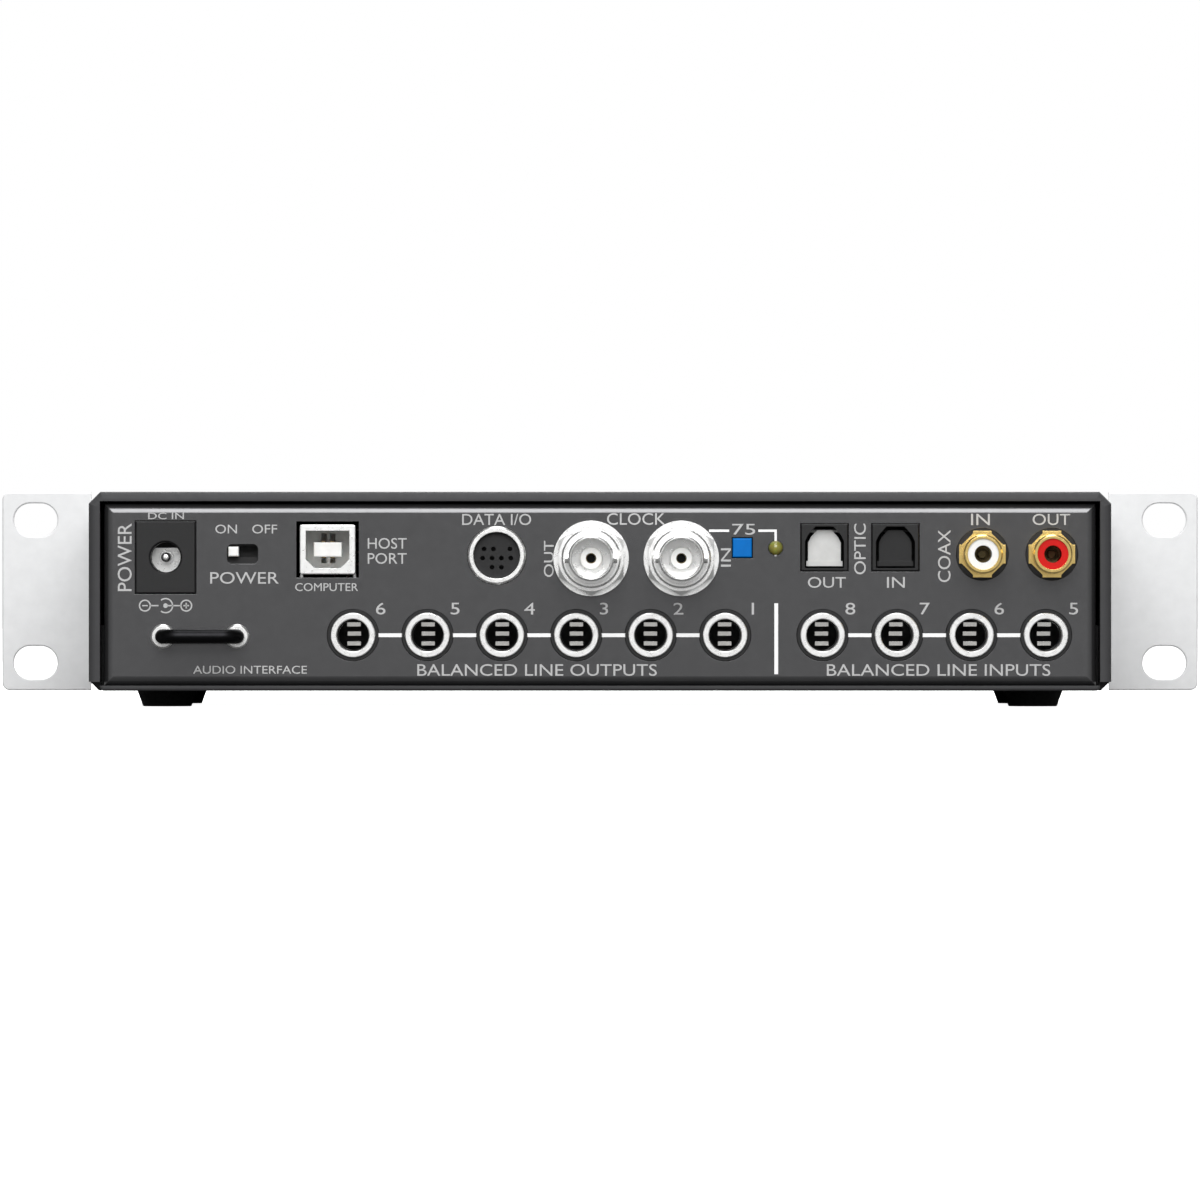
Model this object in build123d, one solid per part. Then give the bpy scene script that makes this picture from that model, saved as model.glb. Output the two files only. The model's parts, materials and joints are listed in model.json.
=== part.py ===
from build123d import *
import os
from math import cos, pi, radians, sin

# Half-rack audio interface: sheet-metal case, rack ears, rear connector field, front controls and boards.
# Row frame: millimetres, +Z up, origin on the floor under the middle of the unit.
# The front panel faces -Y and the connector panel faces +Y.

# ---------------------------------------------------------------- driving dimensions
CASE_W = 217.8
CASE_H = 42.4
CASE_D = 155.0
FOOT_H = 3.5
PROTRUSION = 11.5          # clock sockets behind the case, dial in front of it
GAP = 0.1                  # assembly clearance round a part in its cut-out
TINY = 1e-4                # tolerance for finding edges in a plane

TOP_T = 2.0                # cover's top wall
SIDE_T = 2.4               # cover's side walls
BASE_T = 1.1
SHEET_T = 1.5              # rear panel sheet
TOP_CHAMFER = 2.5
LOW_CHAMFER = 2.0
RIM_R = 1.7                # rounding of the cover's rear rim
HEM_H, HEM_D = 1.9, 8.0    # relief in the cover's lower rear corners

FRONT_T = 3.5
FRONT_H = 44.0
FRONT_CORNER_R, FRONT_EDGE_R = 1.0, 0.6
BEZEL_R, BEZEL_EDGE = 8.2, 0.3             # round bezels of the front jacks

EAR_SPAN = 266.0
EAR_T = 2.5
EAR_H = 44.0
EAR_LEG_H = 38.0
EAR_LEG_D = 42.0
EAR_BEND_R = 2.5
SLOT_SPACING_X = 251.2
SLOT_SPACING_Z = 31.75     # one rack unit's hole spacing
SLOT_L = 9.7
SLOT_R = 3.7

PANEL_HALF_W = 105.6
PANEL_HALF_H = 18.7        # above the case's mid height
PANEL_SET_BACK = 0.3
PANEL_DEPTH = 9.0
PANEL_BEND_R = 2.0

JACK_PITCH = 15.85
JACK_BORE_R = 3.2
JACK_MOUTH_R, FRONT_MOUTH_R = 3.45, 3.75    # mouths of the rear and the front bushings
JACK_CAVITY_R = 3.9
JACK_RING_R = 4.75
JACK_COLLAR_R = 5.45
JACK_BODY_D = 28.0
JACK_BODY_W = 14.4
JACK_HEAD_ROOM = 6.2       # body above the bore's centre
SEAT_DEPTH, GUIDE_DEPTH, CAVITY_DEPTH = 5.0, 11.0, 25.0
LEAF_W, LEAF_T = 2.9, 0.9

# ---------------------------------------------------------------- derived places
Z_LOW = FOOT_H
Z_MID = FOOT_H + CASE_H / 2
Z_TOP = FOOT_H + CASE_H
HALF_W = CASE_W / 2
Y_REAR = CASE_D / 2
Y_FRONT = -CASE_D / 2
Y_INSIDE = Y_FRONT + FRONT_T               # back face of the front panel
Y_PANEL = Y_REAR - PANEL_SET_BACK          # outer face of the rear panel
Y_PANEL_BACK = Y_PANEL - SHEET_T           # inner face of the rear panel
INNER_W = HALF_W - SIDE_T
Z_FLOOR = Z_LOW + BASE_T                   # upper face of the base plate
PANEL_TOP = Z_MID + PANEL_HALF_H

LOWER_BOARD_TOP = Z_MID - 15.55
UPPER_BOARD_TOP = Z_MID - 0.5
BOARD_T = 1.6

# rear connectors: X of each centre, and its Z
DC_X, DC_Z = 92.5, Z_MID + 7.25
SWITCH_X, SWITCH_Z = 76.1, Z_MID + 7.95
USB_X, USB_Z = 58.0, Z_MID + 8.9
DIN_X, DIN_Z = 22.0, Z_MID + 7.65
CLOCK_XS, CLOCK_Z = (1.9, -17.3), Z_MID + 7.0
TERM_X, LED_X, TERM_Z = -30.3, -37.4, Z_MID + 9.25
OPTICAL_OUT_X, OPTICAL_IN_X, OPTICAL_Z = -47.8, -62.9, Z_MID + 9.35
COAX_XS, COAX_Z = (-81.4, -96.2), Z_MID + 7.9
BAIL_X, BAIL_Z = 85.2, Z_MID - 9.6
LINE_OUT_XS = [52.6 - JACK_PITCH * i for i in range(6)]
LINE_IN_XS = [-47.4 - JACK_PITCH * i for i in range(4)]
JACK_Z = Z_MID - 9.35

# front controls: X of each centre, all at mid height
MIC_XS = (-88.0, -60.0)
FRONT_JACK_XS = (-36.0, -18.0, 92.0)
WINDOW_X, WINDOW_W, WINDOW_H = 14.0, 40.0, 16.0
KNOB_X = 58.0
STATUS_XS = (74.0, 79.0)
STATUS_ZS = (-9.0, -3.0, 3.0, 9.0)

# openings that two or more sub-parts share
DC_W, DC_H = 12.9, 15.5
USB_W, USB_H = 11.9, 10.6
DIN_R = 6.2
OPTICAL_SIDE = 10.1
MIC_R = 12.0
SWITCH_SLOT_W, SWITCH_SLOT_H, SWITCH_SLOT_R = 6.6, 4.2, 1.1
BUTTON_SIDE = 4.1
LED_R = 1.5
CLOCK_THREAD_R = 6.3
COAX_BOSS_R = 5.5
BAIL_ROD_R, BAIL_SPAN = 1.55, 15.8
FERRULE_R = 1.9
STATUS_R = 1.0
WINDOW_CORNER_R = 1.9

SCREW_R = 1.5              # M3 screws of the case
HEAD_R = 2.9
HEAD_T = 1.6
BOARD_SCREW_R = 1.3


# ---------------------------------------------------------------- helpers
def block(x0, x1, y0, y1, z0, z1):
    """Box between two corners."""
    return Pos((x0 + x1) / 2, (y0 + y1) / 2, (z0 + z1) / 2) * Box(x1 - x0, y1 - y0, z1 - z0)


def centred(x, z, w, h, y0, y1):
    """Box centred on (x, z) that runs from y0 to y1."""
    return block(x - w / 2, x + w / 2, y0, y1, z - h / 2, z + h / 2)


def rod_y(x, z, y0, y1, r):
    """Cylinder along Y."""
    return Pos(x, (y0 + y1) / 2, z) * Rot(90, 0, 0) * Cylinder(r, abs(y1 - y0))


def rod_z(x, y, z0, z1, r):
    """Cylinder along Z."""
    return Pos(x, y, (z0 + z1) / 2) * Cylinder(r, z1 - z0)


def rod_x(y, z, x0, x1, r):
    """Cylinder along X."""
    return Pos((x0 + x1) / 2, y, z) * Rot(0, 90, 0) * Cylinder(r, abs(x1 - x0))


def tube_y(x, z, y0, y1, outer, inner):
    """Tube along Y."""
    return rod_y(x, z, y0, y1, outer) - rod_y(x, z, y0 - 1, y1 + 1, inner)


def tube_z(x, y, z0, z1, outer, inner):
    """Tube along Z."""
    return rod_z(x, y, z0, z1, outer) - rod_z(x, y, z0 - 1, z1 + 1, inner)


def prism_y(points, y0, y1):
    """Solid with an XZ outline, from y0 to y1."""
    face = make_face(Polyline([(x, y0, z) for x, z in points], close=True))
    return extrude(face, amount=y1 - y0, dir=(0, 1, 0))


def symmetric(x, right):
    """Closed outline from the points of its right half, which run from top to bottom."""
    return [(x + u, z) for u, z in right] + [(x - u, z) for u, z in reversed(right)]


def turned(profile, x, z):
    """Solid of revolution about the Y axis line through (x, z). The profile is (radius, y) pairs."""
    face = make_face(Polyline([(r, y, 0) for r, y in profile], close=True))
    return Pos(x, 0, z) * revolve(face, Axis.Y)


def slot_y(x, z, length, r, y0, y1):
    """Slot-shaped solid along Y, its long side along X."""
    half = length / 2 - r
    return (
        centred(x, z, 2 * half, 2 * r, y0, y1)
        + rod_y(x - half, z, y0, y1, r)
        + rod_y(x + half, z, y0, y1, r)
    )


def hexagon_z(x, y, z, r, amount, both=False):
    """Hexagonal solid along Z from height z, or to both sides of it."""
    return Pos(x, y, z) * extrude(RegularPolygon(r, 6), amount=amount, both=both)


def edges_at_y(part, y):
    """Edges that lie in the plane of constant Y."""
    return [e for e in part.edges() if all(abs(v.Y - y) < TINY for v in e.vertices())
            and abs(e.center().Y - y) < TINY]


def circles(part):
    """Circular edges of a part."""
    return part.edges().filter_by(GeomType.CIRCLE)


def solids_of(*shapes):
    """One compound of every solid in the shapes."""
    return Compound(children=[Solid(s.wrapped) for shape in shapes for s in shape.solids()])


# ---------------------------------------------------------------- case
SIDE_SCREW_Z = Z_LOW + 9.0
COVER_SCREW_YS = (0.0, 52.0)
COVER_SCREW_L, EAR_SCREW_L = 6.0, 8.0
EAR_SCREW_YS = (-62.0, -46.0)
EAR_SCREW_Z = Z_MID
SOCKET_R, SOCKET_DEPTH = 1.15, 1.1         # hexagon socket of a case screw
FLANGE_H = 14.0                            # the base's folded side flanges
FLANGE_SETBACK = 4.0
FOOT_PLACES = [(sx * 93.0, sy * 45.0) for sx in (1, -1) for sy in (1, -1)]
FOOT_TOP_R, FOOT_LOW_R, FOOT_EDGE_R = 6.5, 5.2, 0.4
FOOT_RECESS_R, FOOT_RECESS_H = 3.2, 1.9
FOOT_HEAD_Z = 0.5                          # lowest point of a foot's screw
NUT_R, NUT_T = 3.0, 2.2
ANGLE_X, ANGLE_W, ANGLE_H, ANGLE_L, ANGLE_T = 99.6, 5.0, 6.0, 9.0, 1.5


def countersink(side, y, z, face_x):
    """Hole and cone for a countersunk side screw that enters at |x| = face_x."""
    cone = Pos(side * (face_x - HEAD_T / 2), y, z) * Rot(0, side * 90, 0) * Cone(SCREW_R, HEAD_R, HEAD_T)
    return cone + rod_x(y, z, side * (face_x - 2 * COVER_SCREW_L), side * (face_x + 1), SCREW_R)


def side_screw(side, y, z, face_x, length):
    """Countersunk screw with a hexagon socket, its head flush with |x| = face_x."""
    cone = Pos(side * (face_x - HEAD_T / 2), y, z) * Rot(0, side * 90, 0) * Cone(SCREW_R, HEAD_R, HEAD_T)
    shank = rod_x(y, z, side * (face_x - HEAD_T), side * (face_x - length), SCREW_R)
    socket = Pos(side * (face_x - SOCKET_DEPTH / 2), y, z) * Rot(0, 90, 0) * extrude(
        RegularPolygon(SOCKET_R, 6), amount=SOCKET_DEPTH / 2 + GAP / 2, both=True)
    return cone + shank - socket


def top_cover():
    """Folded lid: top wall and both side walls, long corners chamfered, rear rim rounded."""
    w, inner = HALF_W, INNER_W
    right = [(w - TOP_CHAMFER, Z_TOP), (w, Z_TOP - TOP_CHAMFER), (w, Z_LOW + LOW_CHAMFER),
             (w - LOW_CHAMFER, Z_LOW), (inner, Z_LOW), (inner, Z_TOP - TOP_T)]
    cover = prism_y(symmetric(0, right), Y_INSIDE, Y_REAR)
    rim = [e for e in edges_at_y(cover, Y_REAR)
           if e.center().Z > Z_TOP - TOP_T + GAP or abs(e.center().X) > w - LOW_CHAMFER / 4]
    cover = fillet(rim, RIM_R)
    for side in (1, -1):
        x0, x1 = sorted((side * (inner - 1), side * (w + 1)))
        cover -= block(x0, x1, Y_REAR - HEM_D, Y_REAR + 1, Z_LOW - 1, Z_LOW + HEM_H)
        for y in COVER_SCREW_YS:
            cover -= countersink(side, y, SIDE_SCREW_Z, w)
        for y in EAR_SCREW_YS:
            cover -= rod_x(y, EAR_SCREW_Z, side * (inner - 1), side * (w + 1), SCREW_R)
    return cover


def base_tray():
    """Base plate with a low folded flange along each side."""
    tray = block(-INNER_W, INNER_W, Y_INSIDE, Y_REAR, Z_LOW, Z_FLOOR)
    for side in (1, -1):
        x0, x1 = sorted((side * (INNER_W - BASE_T), side * INNER_W))
        tray += block(x0, x1, Y_INSIDE + FLANGE_SETBACK, Y_PANEL - PANEL_DEPTH - FLANGE_SETBACK / 2,
                      Z_LOW, Z_LOW + FLANGE_H)
    long_low = [e for e in tray.edges().filter_by(Axis.Y)
                if abs(e.center().Z - Z_LOW) < TINY and abs(abs(e.center().X) - INNER_W) < TINY]
    tray = fillet(long_low, 0.8 * BASE_T)
    rear_low = [e for e in edges_at_y(tray, Y_REAR) if abs(e.center().Z - Z_LOW) < TINY]
    tray = fillet(rear_low, 0.6 * BASE_T)
    for side in (1, -1):
        for y in COVER_SCREW_YS:
            tray -= rod_x(y, SIDE_SCREW_Z, side * (INNER_W - 2 * BASE_T), side * (INNER_W + 1), SCREW_R)
    for x, y in FOOT_PLACES:
        tray -= rod_z(x, y, Z_LOW - 1, Z_FLOOR + 1, SCREW_R)
    return tray


def rear_cutouts():
    """Every opening in the rear panel, as solids to subtract."""
    y0, y1 = Y_PANEL - PANEL_DEPTH + SHEET_T, Y_PANEL + 1
    usb_room = 1.4                         # clearance round the data port's shield
    switch = centred(SWITCH_X, SWITCH_Z, SWITCH_SLOT_W, SWITCH_SLOT_H, y0, y1)
    cuts = [
        centred(DC_X, DC_Z, DC_W + 2 * GAP, DC_H + 2 * GAP, y0, y1),
        fillet(switch.edges().filter_by(Axis.Y), SWITCH_SLOT_R),
        centred(USB_X, USB_Z, USB_W + usb_room, USB_H + usb_room, y0, y1),
        rod_y(DIN_X, DIN_Z, y0, y1, DIN_R + GAP),
        centred(TERM_X, TERM_Z, BUTTON_SIDE + 4 * GAP, BUTTON_SIDE + 4 * GAP, y0, y1),
        rod_y(LED_X, TERM_Z, y0, y1, LED_R + GAP),
    ]
    cuts += [rod_y(x, CLOCK_Z, y0, y1, CLOCK_THREAD_R + GAP) for x in CLOCK_XS]
    cuts += [centred(x, OPTICAL_Z, OPTICAL_SIDE + 2 * GAP, OPTICAL_SIDE + 2 * GAP, y0, y1)
             for x in (OPTICAL_OUT_X, OPTICAL_IN_X)]
    cuts += [rod_y(x, COAX_Z, y0, y1, COAX_BOSS_R + GAP) for x in COAX_XS]
    cuts += [rod_y(x, JACK_Z, y0, y1, JACK_COLLAR_R + GAP) for x in LINE_OUT_XS + LINE_IN_XS]
    cuts += [rod_y(BAIL_X + s * BAIL_SPAN / 2, BAIL_Z, y0, y1, FERRULE_R) for s in (1, -1)]
    return cuts


def rear_panel():
    """Shallow folded pan with rounded bends, mitred at the corners, and the connector openings."""
    y0 = Y_PANEL - PANEL_DEPTH
    pan = block(-PANEL_HALF_W, PANEL_HALF_W, y0, Y_PANEL, Z_FLOOR, PANEL_TOP)
    pan = fillet(edges_at_y(pan, Y_PANEL), PANEL_BEND_R)
    t = SHEET_T
    hollow = block(-PANEL_HALF_W + t, PANEL_HALF_W - t, y0 - 1, Y_PANEL_BACK, Z_FLOOR + t, PANEL_TOP - t)
    pan -= fillet(edges_at_y(hollow, Y_PANEL_BACK), PANEL_BEND_R - t)
    for cut in rear_cutouts():
        pan -= cut
    return pan


def front_panel():
    """Aluminium front plate with openings for the controls, and a round bezel at each front jack."""
    y0, y1 = Y_FRONT - 1, Y_INSIDE + 1
    plate = centred(0, Z_MID, CASE_W, FRONT_H, Y_FRONT, Y_INSIDE)
    plate = fillet(plate.edges().filter_by(Axis.Y), FRONT_CORNER_R)
    plate = fillet(edges_at_y(plate, Y_FRONT), FRONT_EDGE_R)
    for x in MIC_XS:
        plate -= rod_y(x, Z_MID, y0, y1, MIC_R + GAP)
    bezels = []
    for x in FRONT_JACK_XS:
        plate -= rod_y(x, Z_MID, y0, y1, BEZEL_R + GAP)
        ring = rod_y(x, Z_MID, Y_FRONT, Y_INSIDE, BEZEL_R)
        ring = chamfer([e for e in circles(ring) if abs(e.center().Y - Y_FRONT) < TINY], BEZEL_EDGE)
        bezels.append(ring - rod_y(x, Z_MID, y0, y1, JACK_COLLAR_R + GAP))
    plate -= rod_y(KNOB_X, Z_MID, y0, y1, ENCODER_NECK_R + GAP)
    window = centred(WINDOW_X, Z_MID, WINDOW_W + 2 * GAP, WINDOW_H + 2 * GAP, y0, y1)
    plate -= fillet(window.edges().filter_by(Axis.Y), WINDOW_CORNER_R + GAP)
    for x in STATUS_XS:
        for z in STATUS_ZS:
            plate -= rod_y(x, Z_MID + z, y0, y1, STATUS_R + GAP)
    return solids_of(plate, *bezels)


def front_brackets():
    """Angles that hold the front panel to the base plate."""
    pieces = []
    for side in (1, -1):
        x0, x1 = sorted((side * ANGLE_X, side * (ANGLE_X + ANGLE_W)))
        pieces.append(block(x0, x1, Y_INSIDE, Y_INSIDE + ANGLE_T, Z_FLOOR, Z_FLOOR + ANGLE_H)
                      + block(x0, x1, Y_INSIDE, Y_INSIDE + ANGLE_L, Z_FLOOR, Z_FLOOR + ANGLE_T))
    return solids_of(*pieces)


def rack_ear(side):
    """Bent plate: slotted flange in the plane of the front panel and a leg along the case side."""
    leg_out = HALF_W + EAR_T
    low = Z_MID - EAR_H / 2
    outline = [(HALF_W, Y_FRONT), (EAR_SPAN / 2, Y_FRONT), (EAR_SPAN / 2, Y_FRONT + EAR_T),
               (leg_out, Y_FRONT + EAR_T), (leg_out, Y_FRONT + EAR_LEG_D), (HALF_W, Y_FRONT + EAR_LEG_D)]
    face = make_face(Polyline([(x, y, low) for x, y in outline], close=True))
    outer = face.vertices().sort_by_distance((HALF_W, Y_FRONT, low))[0]
    face = fillet([outer], EAR_BEND_R)
    inner = face.vertices().sort_by_distance((leg_out, Y_FRONT + EAR_T, low))[0]
    inner_r = 0.8
    face = fillet([inner], inner_r)
    ear = extrude(face, amount=EAR_H, dir=(0, 0, 1))
    step = leg_out + 1.8                   # where the full-height flange begins
    for s in (1, -1):
        z0, z1 = sorted((Z_MID + s * EAR_LEG_H / 2, Z_MID + s * (EAR_H / 2 + 1)))
        ear -= block(HALF_W - 1, step, Y_FRONT - 1, Y_FRONT + EAR_LEG_D + 1, z0, z1)
    corner_r, leg_corner_r, edge = 1.6, 4.0, 0.25
    corners = [e for e in ear.edges().filter_by(Axis.Y) if abs(e.center().X - EAR_SPAN / 2) < TINY]
    ear = fillet(corners, corner_r)
    leg_ends = [e for e in ear.edges().filter_by(Axis.X) if abs(e.center().Y - Y_FRONT - EAR_LEG_D) < TINY]
    ear = fillet(leg_ends, leg_corner_r)
    for s in (1, -1):
        ear -= slot_y(SLOT_SPACING_X / 2, Z_MID + s * SLOT_SPACING_Z / 2, SLOT_L, SLOT_R,
                      Y_FRONT - 1, Y_FRONT + EAR_T + 1)
    for y in EAR_SCREW_YS:
        ear -= countersink(1, y, EAR_SCREW_Z, leg_out)
    rims = edges_at_y(ear, Y_FRONT) + edges_at_y(ear, Y_FRONT + EAR_T)
    ear = chamfer([e for e in rims if e.center().X > step + edge], edge)
    return ear if side > 0 else mirror(ear, about=Plane.YZ)


def side_screws():
    """Countersunk screws of the cover and of both rack ears."""
    cover = [side_screw(side, y, SIDE_SCREW_Z, HALF_W, COVER_SCREW_L)
             for side in (1, -1) for y in COVER_SCREW_YS]
    ears = [side_screw(side, y, EAR_SCREW_Z, HALF_W + EAR_T, EAR_SCREW_L)
            for side in (1, -1) for y in EAR_SCREW_YS]
    return solids_of(*cover, *ears)


def rubber_feet():
    """Four tapered feet with a recess for the screw."""
    feet = []
    for x, y in FOOT_PLACES:
        foot = Pos(x, y, FOOT_H / 2) * Cone(FOOT_LOW_R, FOOT_TOP_R, FOOT_H)
        foot = fillet([e for e in circles(foot) if e.center().Z < TINY], FOOT_EDGE_R)
        foot -= rod_z(x, y, -1, FOOT_RECESS_H, FOOT_RECESS_R)
        feet.append(foot - rod_z(x, y, -1, FOOT_H + 1, SCREW_R))
    return solids_of(*feet)


def foot_screws():
    """Pan-head screws and nuts that hold the feet."""
    pieces = []
    for x, y in FOOT_PLACES:
        screw = rod_z(x, y, FOOT_HEAD_Z, FOOT_RECESS_H, HEAD_R)
        screw += rod_z(x, y, FOOT_RECESS_H, Z_FLOOR + NUT_T + GAP, SCREW_R)
        pieces.append(screw - hexagon_z(x, y, FOOT_HEAD_Z, SOCKET_R, HEAD_T / 2, both=True))
        nut = hexagon_z(x, y, Z_FLOOR, NUT_R, NUT_T)
        pieces.append(nut - rod_z(x, y, Z_FLOOR - 1, Z_FLOOR + NUT_T + 1, SCREW_R))
    return solids_of(*pieces)


# ---------------------------------------------------------------- boards
PILLARS = [(75.0, 60.0), (-37.05, 60.0), (95.0, 16.0), (30.0, 16.0), (-37.05, 16.0), (-95.0, 16.0)]
LOW_POSTS = [(88.0, -40.0), (-88.0, -40.0)]
SPACER_R, PILLAR_R = 2.6, 2.8
BOARD_HEAD_R, BOARD_HEAD_T, BOARD_SOCKET_R = 2.5, 1.6, 1.1
FRONT_BOARD_Y = -64.8                      # the upright board's face behind the controls
UPPER_CHIPS = [(0, 28, 20), (36, 30, 14), (-30, 30, 12), (-66, 30, 10)]    # x, y, width
LOWER_CHIPS = [(x, y) for x in (-70, -40, 0, 40, 70) for y in (-30, -4)]
CHIP_T, LOWER_CHIP_W, LOWER_CHIP_L = 1.4, 10.0, 8.0
COIL_X, COIL_Y, COIL_R, COIL_BORE_R, COIL_H = 84.0, 34.0, 8.0, 3.2, 9.0
CANS = [(64, 22), (64, 33), (98, 36)]
CAN_R, CAN_H = 4.0, 11.0
HEADER_H = 6.0


def board_holes(board, places, z0, z1):
    """Board with a screw hole at each place."""
    for x, y in places:
        board -= rod_z(x, y, z0 - 1, z1 + 1, BOARD_SCREW_R)
    return board


def analog_board():
    """Lower board that carries the line jacks."""
    z0, z1 = LOWER_BOARD_TOP - BOARD_T, LOWER_BOARD_TOP
    return board_holes(block(-100, 100, -62, 66, z0, z1), PILLARS + LOW_POSTS, z0, z1)


def digital_board():
    """Upper board that carries the digital connectors."""
    z0, z1 = UPPER_BOARD_TOP - BOARD_T, UPPER_BOARD_TOP
    return board_holes(block(-102, 102, 8, 67, z0, z1), PILLARS, z0, z1)


def front_board():
    """Upright board behind the display and the dial."""
    return block(-10, 82, FRONT_BOARD_Y, FRONT_BOARD_Y + BOARD_T, Z_MID - 15, Z_MID + 17)


def board_standoffs():
    """Spacers under the lower board and hexagonal pillars between the boards."""
    z0, z1 = LOWER_BOARD_TOP, UPPER_BOARD_TOP - BOARD_T
    low = [tube_z(x, y, Z_FLOOR, z0 - BOARD_T, SPACER_R, BOARD_SCREW_R) for x, y in PILLARS + LOW_POSTS]
    high = [hexagon_z(x, y, z0, PILLAR_R, z1 - z0) - rod_z(x, y, z0 - 1, z1 + 1, BOARD_SCREW_R)
            for x, y in PILLARS]
    return solids_of(*low, *high)


def board_screws():
    """Screws down through the boards into the standoffs."""
    pieces = []
    for places, z in ((PILLARS, UPPER_BOARD_TOP), (LOW_POSTS, LOWER_BOARD_TOP)):
        for x, y in places:
            top = z + BOARD_HEAD_T
            screw = rod_z(x, y, z, top, BOARD_HEAD_R)
            screw += rod_z(x, y, Z_FLOOR + 3 * GAP, z, BOARD_SCREW_R)
            pieces.append(screw - hexagon_z(x, y, top, BOARD_SOCKET_R, BOARD_HEAD_T / 2, both=True))
    return solids_of(*pieces)


def board_chips():
    """Signal processor, converters and interface chips."""
    z = UPPER_BOARD_TOP
    upper = [block(x - w / 2, x + w / 2, y - w / 2, y + w / 2, z, z + CHIP_T) for x, y, w in UPPER_CHIPS]
    z = LOWER_BOARD_TOP
    half_w, half_l = LOWER_CHIP_W / 2, LOWER_CHIP_L / 2
    lower = [block(x - half_w, x + half_w, y - half_l, y + half_l, z, z + CHIP_T) for x, y in LOWER_CHIPS]
    return solids_of(*upper, *lower)


def power_supply_parts():
    """Supply inductor and smoothing capacitors by the power inlet."""
    z = UPPER_BOARD_TOP
    coil = tube_z(COIL_X, COIL_Y, z, z + COIL_H, COIL_R, COIL_BORE_R)
    return solids_of(coil, *[rod_z(x, y, z, z + CAN_H, CAN_R) for x, y in CANS])


def board_links():
    """Pin headers that join the boards."""
    between = block(50, 64, 44, 47, LOWER_BOARD_TOP, UPPER_BOARD_TOP - BOARD_T)
    back = FRONT_BOARD_Y + BOARD_T
    upright = block(20, 52, back, back + 3, LOWER_BOARD_TOP, LOWER_BOARD_TOP + HEADER_H)
    return solids_of(between, upright)


# ---------------------------------------------------------------- power inlet and switch
DC_FACE = Y_REAR + 0.1
DC_DEPTH, DC_BORE_R, DC_BORE_DEPTH = 14.0, 3.2, 11.0
DC_MOUTH_CHAMFER, DC_EDGE = 0.35, 0.3
DC_PLATE_T, DC_PLATE_CROWN = 0.6, 2.05     # contact plate and the height of its cut-off crown
DC_PIN_R, DC_PIN_TIP_R, DC_PIN_SETBACK = 1.0, 0.85, 1.6
DC_COLLAR_R, DC_COLLAR_T = 1.5, 0.9
SWITCH_W, SWITCH_DEPTH, SWITCH_HEAD_ROOM = 15.0, 8.0, 4.0
LEVER_W, LEVER_H, LEVER_RISE, LEVER_TRAVEL = 2.2, 2.1, 0.5, 3.8
LEVER_PROUD, LEVER_ROOT, LEVER_EDGE_R = 1.5, 4.2, 0.35
CHANNEL_ROOM = 0.3                         # play of the lever in its channel


def dc_socket_body():
    """Moulded block of the coaxial power inlet, its face just proud of the panel."""
    body = centred(DC_X, DC_Z, DC_W, DC_H, DC_FACE - DC_DEPTH, DC_FACE)
    body = chamfer(edges_at_y(body, DC_FACE), DC_EDGE)
    body -= rod_y(DC_X, DC_Z, DC_FACE - DC_BORE_DEPTH, DC_FACE + 1, DC_BORE_R)
    return chamfer([e for e in circles(body) if abs(e.center().Y - DC_FACE) < TINY], DC_MOUTH_CHAMFER)


def dc_socket_contact():
    """Bright contact plate at the end of the bore, its crown cut off flat."""
    y0 = DC_FACE - DC_BORE_DEPTH
    plate = tube_y(DC_X, DC_Z, y0, y0 + DC_PLATE_T, DC_BORE_R, DC_COLLAR_R)
    z0 = DC_Z + DC_PLATE_CROWN
    return plate - block(DC_X - DC_BORE_R, DC_X + DC_BORE_R, y0 - 1, y0 + 2, z0, z0 + DC_BORE_R)


def dc_centre_pin():
    """Centre pin with a domed tip, on its insulating collar."""
    y0, tip = DC_FACE - DC_BORE_DEPTH, DC_FACE - DC_PIN_SETBACK
    pin = rod_y(DC_X, DC_Z, y0, y0 + DC_COLLAR_T, DC_COLLAR_R) + rod_y(DC_X, DC_Z, y0, tip, DC_PIN_R)
    return fillet([e for e in circles(pin) if abs(e.center().Y - tip) < TINY], DC_PIN_TIP_R)


def power_switch_body():
    """Slide switch housing behind the panel, with the lever's channel."""
    y1 = Y_PANEL_BACK
    body = block(SWITCH_X - SWITCH_W / 2, SWITCH_X + SWITCH_W / 2, y1 - SWITCH_DEPTH, y1,
                 UPPER_BOARD_TOP, SWITCH_Z + SWITCH_HEAD_ROOM)
    body = chamfer(body.edges().filter_by(Axis.Y), LEVER_RISE)
    length = LEVER_W + LEVER_TRAVEL + CHANNEL_ROOM
    return body - centred(SWITCH_X, SWITCH_Z + LEVER_RISE, length, LEVER_H + CHANNEL_ROOM,
                          y1 - LEVER_ROOT - CHANNEL_ROOM, y1 + 1)


def power_switch_lever():
    """Lever at its on end, towards +X."""
    tip = Y_PANEL + LEVER_PROUD
    lever = centred(SWITCH_X + LEVER_TRAVEL / 2, SWITCH_Z + LEVER_RISE, LEVER_W, LEVER_H,
                    Y_PANEL_BACK - LEVER_ROOT, tip)
    return fillet(edges_at_y(lever, tip), LEVER_EDGE_R)


# ---------------------------------------------------------------- data sockets
USB_FACE = Y_REAR + 0.4
USB_WALL, USB_DEPTH, USB_BACK_T = 1.3, 16.0, 4.0
USB_INNER_W = USB_W - 2 * USB_WALL
USB_INNER_H = USB_H - 2 * USB_WALL
USB_CORNER_CUT = 1.9
USB_TONGUE_W, USB_TONGUE_H, USB_TONGUE_BACK = 6.0, 3.1, USB_FACE - 2.2
USB_BLADE_DX, USB_BLADE_W, USB_BLADE_T = 0.95, 0.8, 0.25
USB_SLOT_W, USB_UPPER_SLOT_H, USB_LOWER_SLOT_H = 1.1, 1.9, 1.3
USB_LEG_T = 0.6

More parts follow.
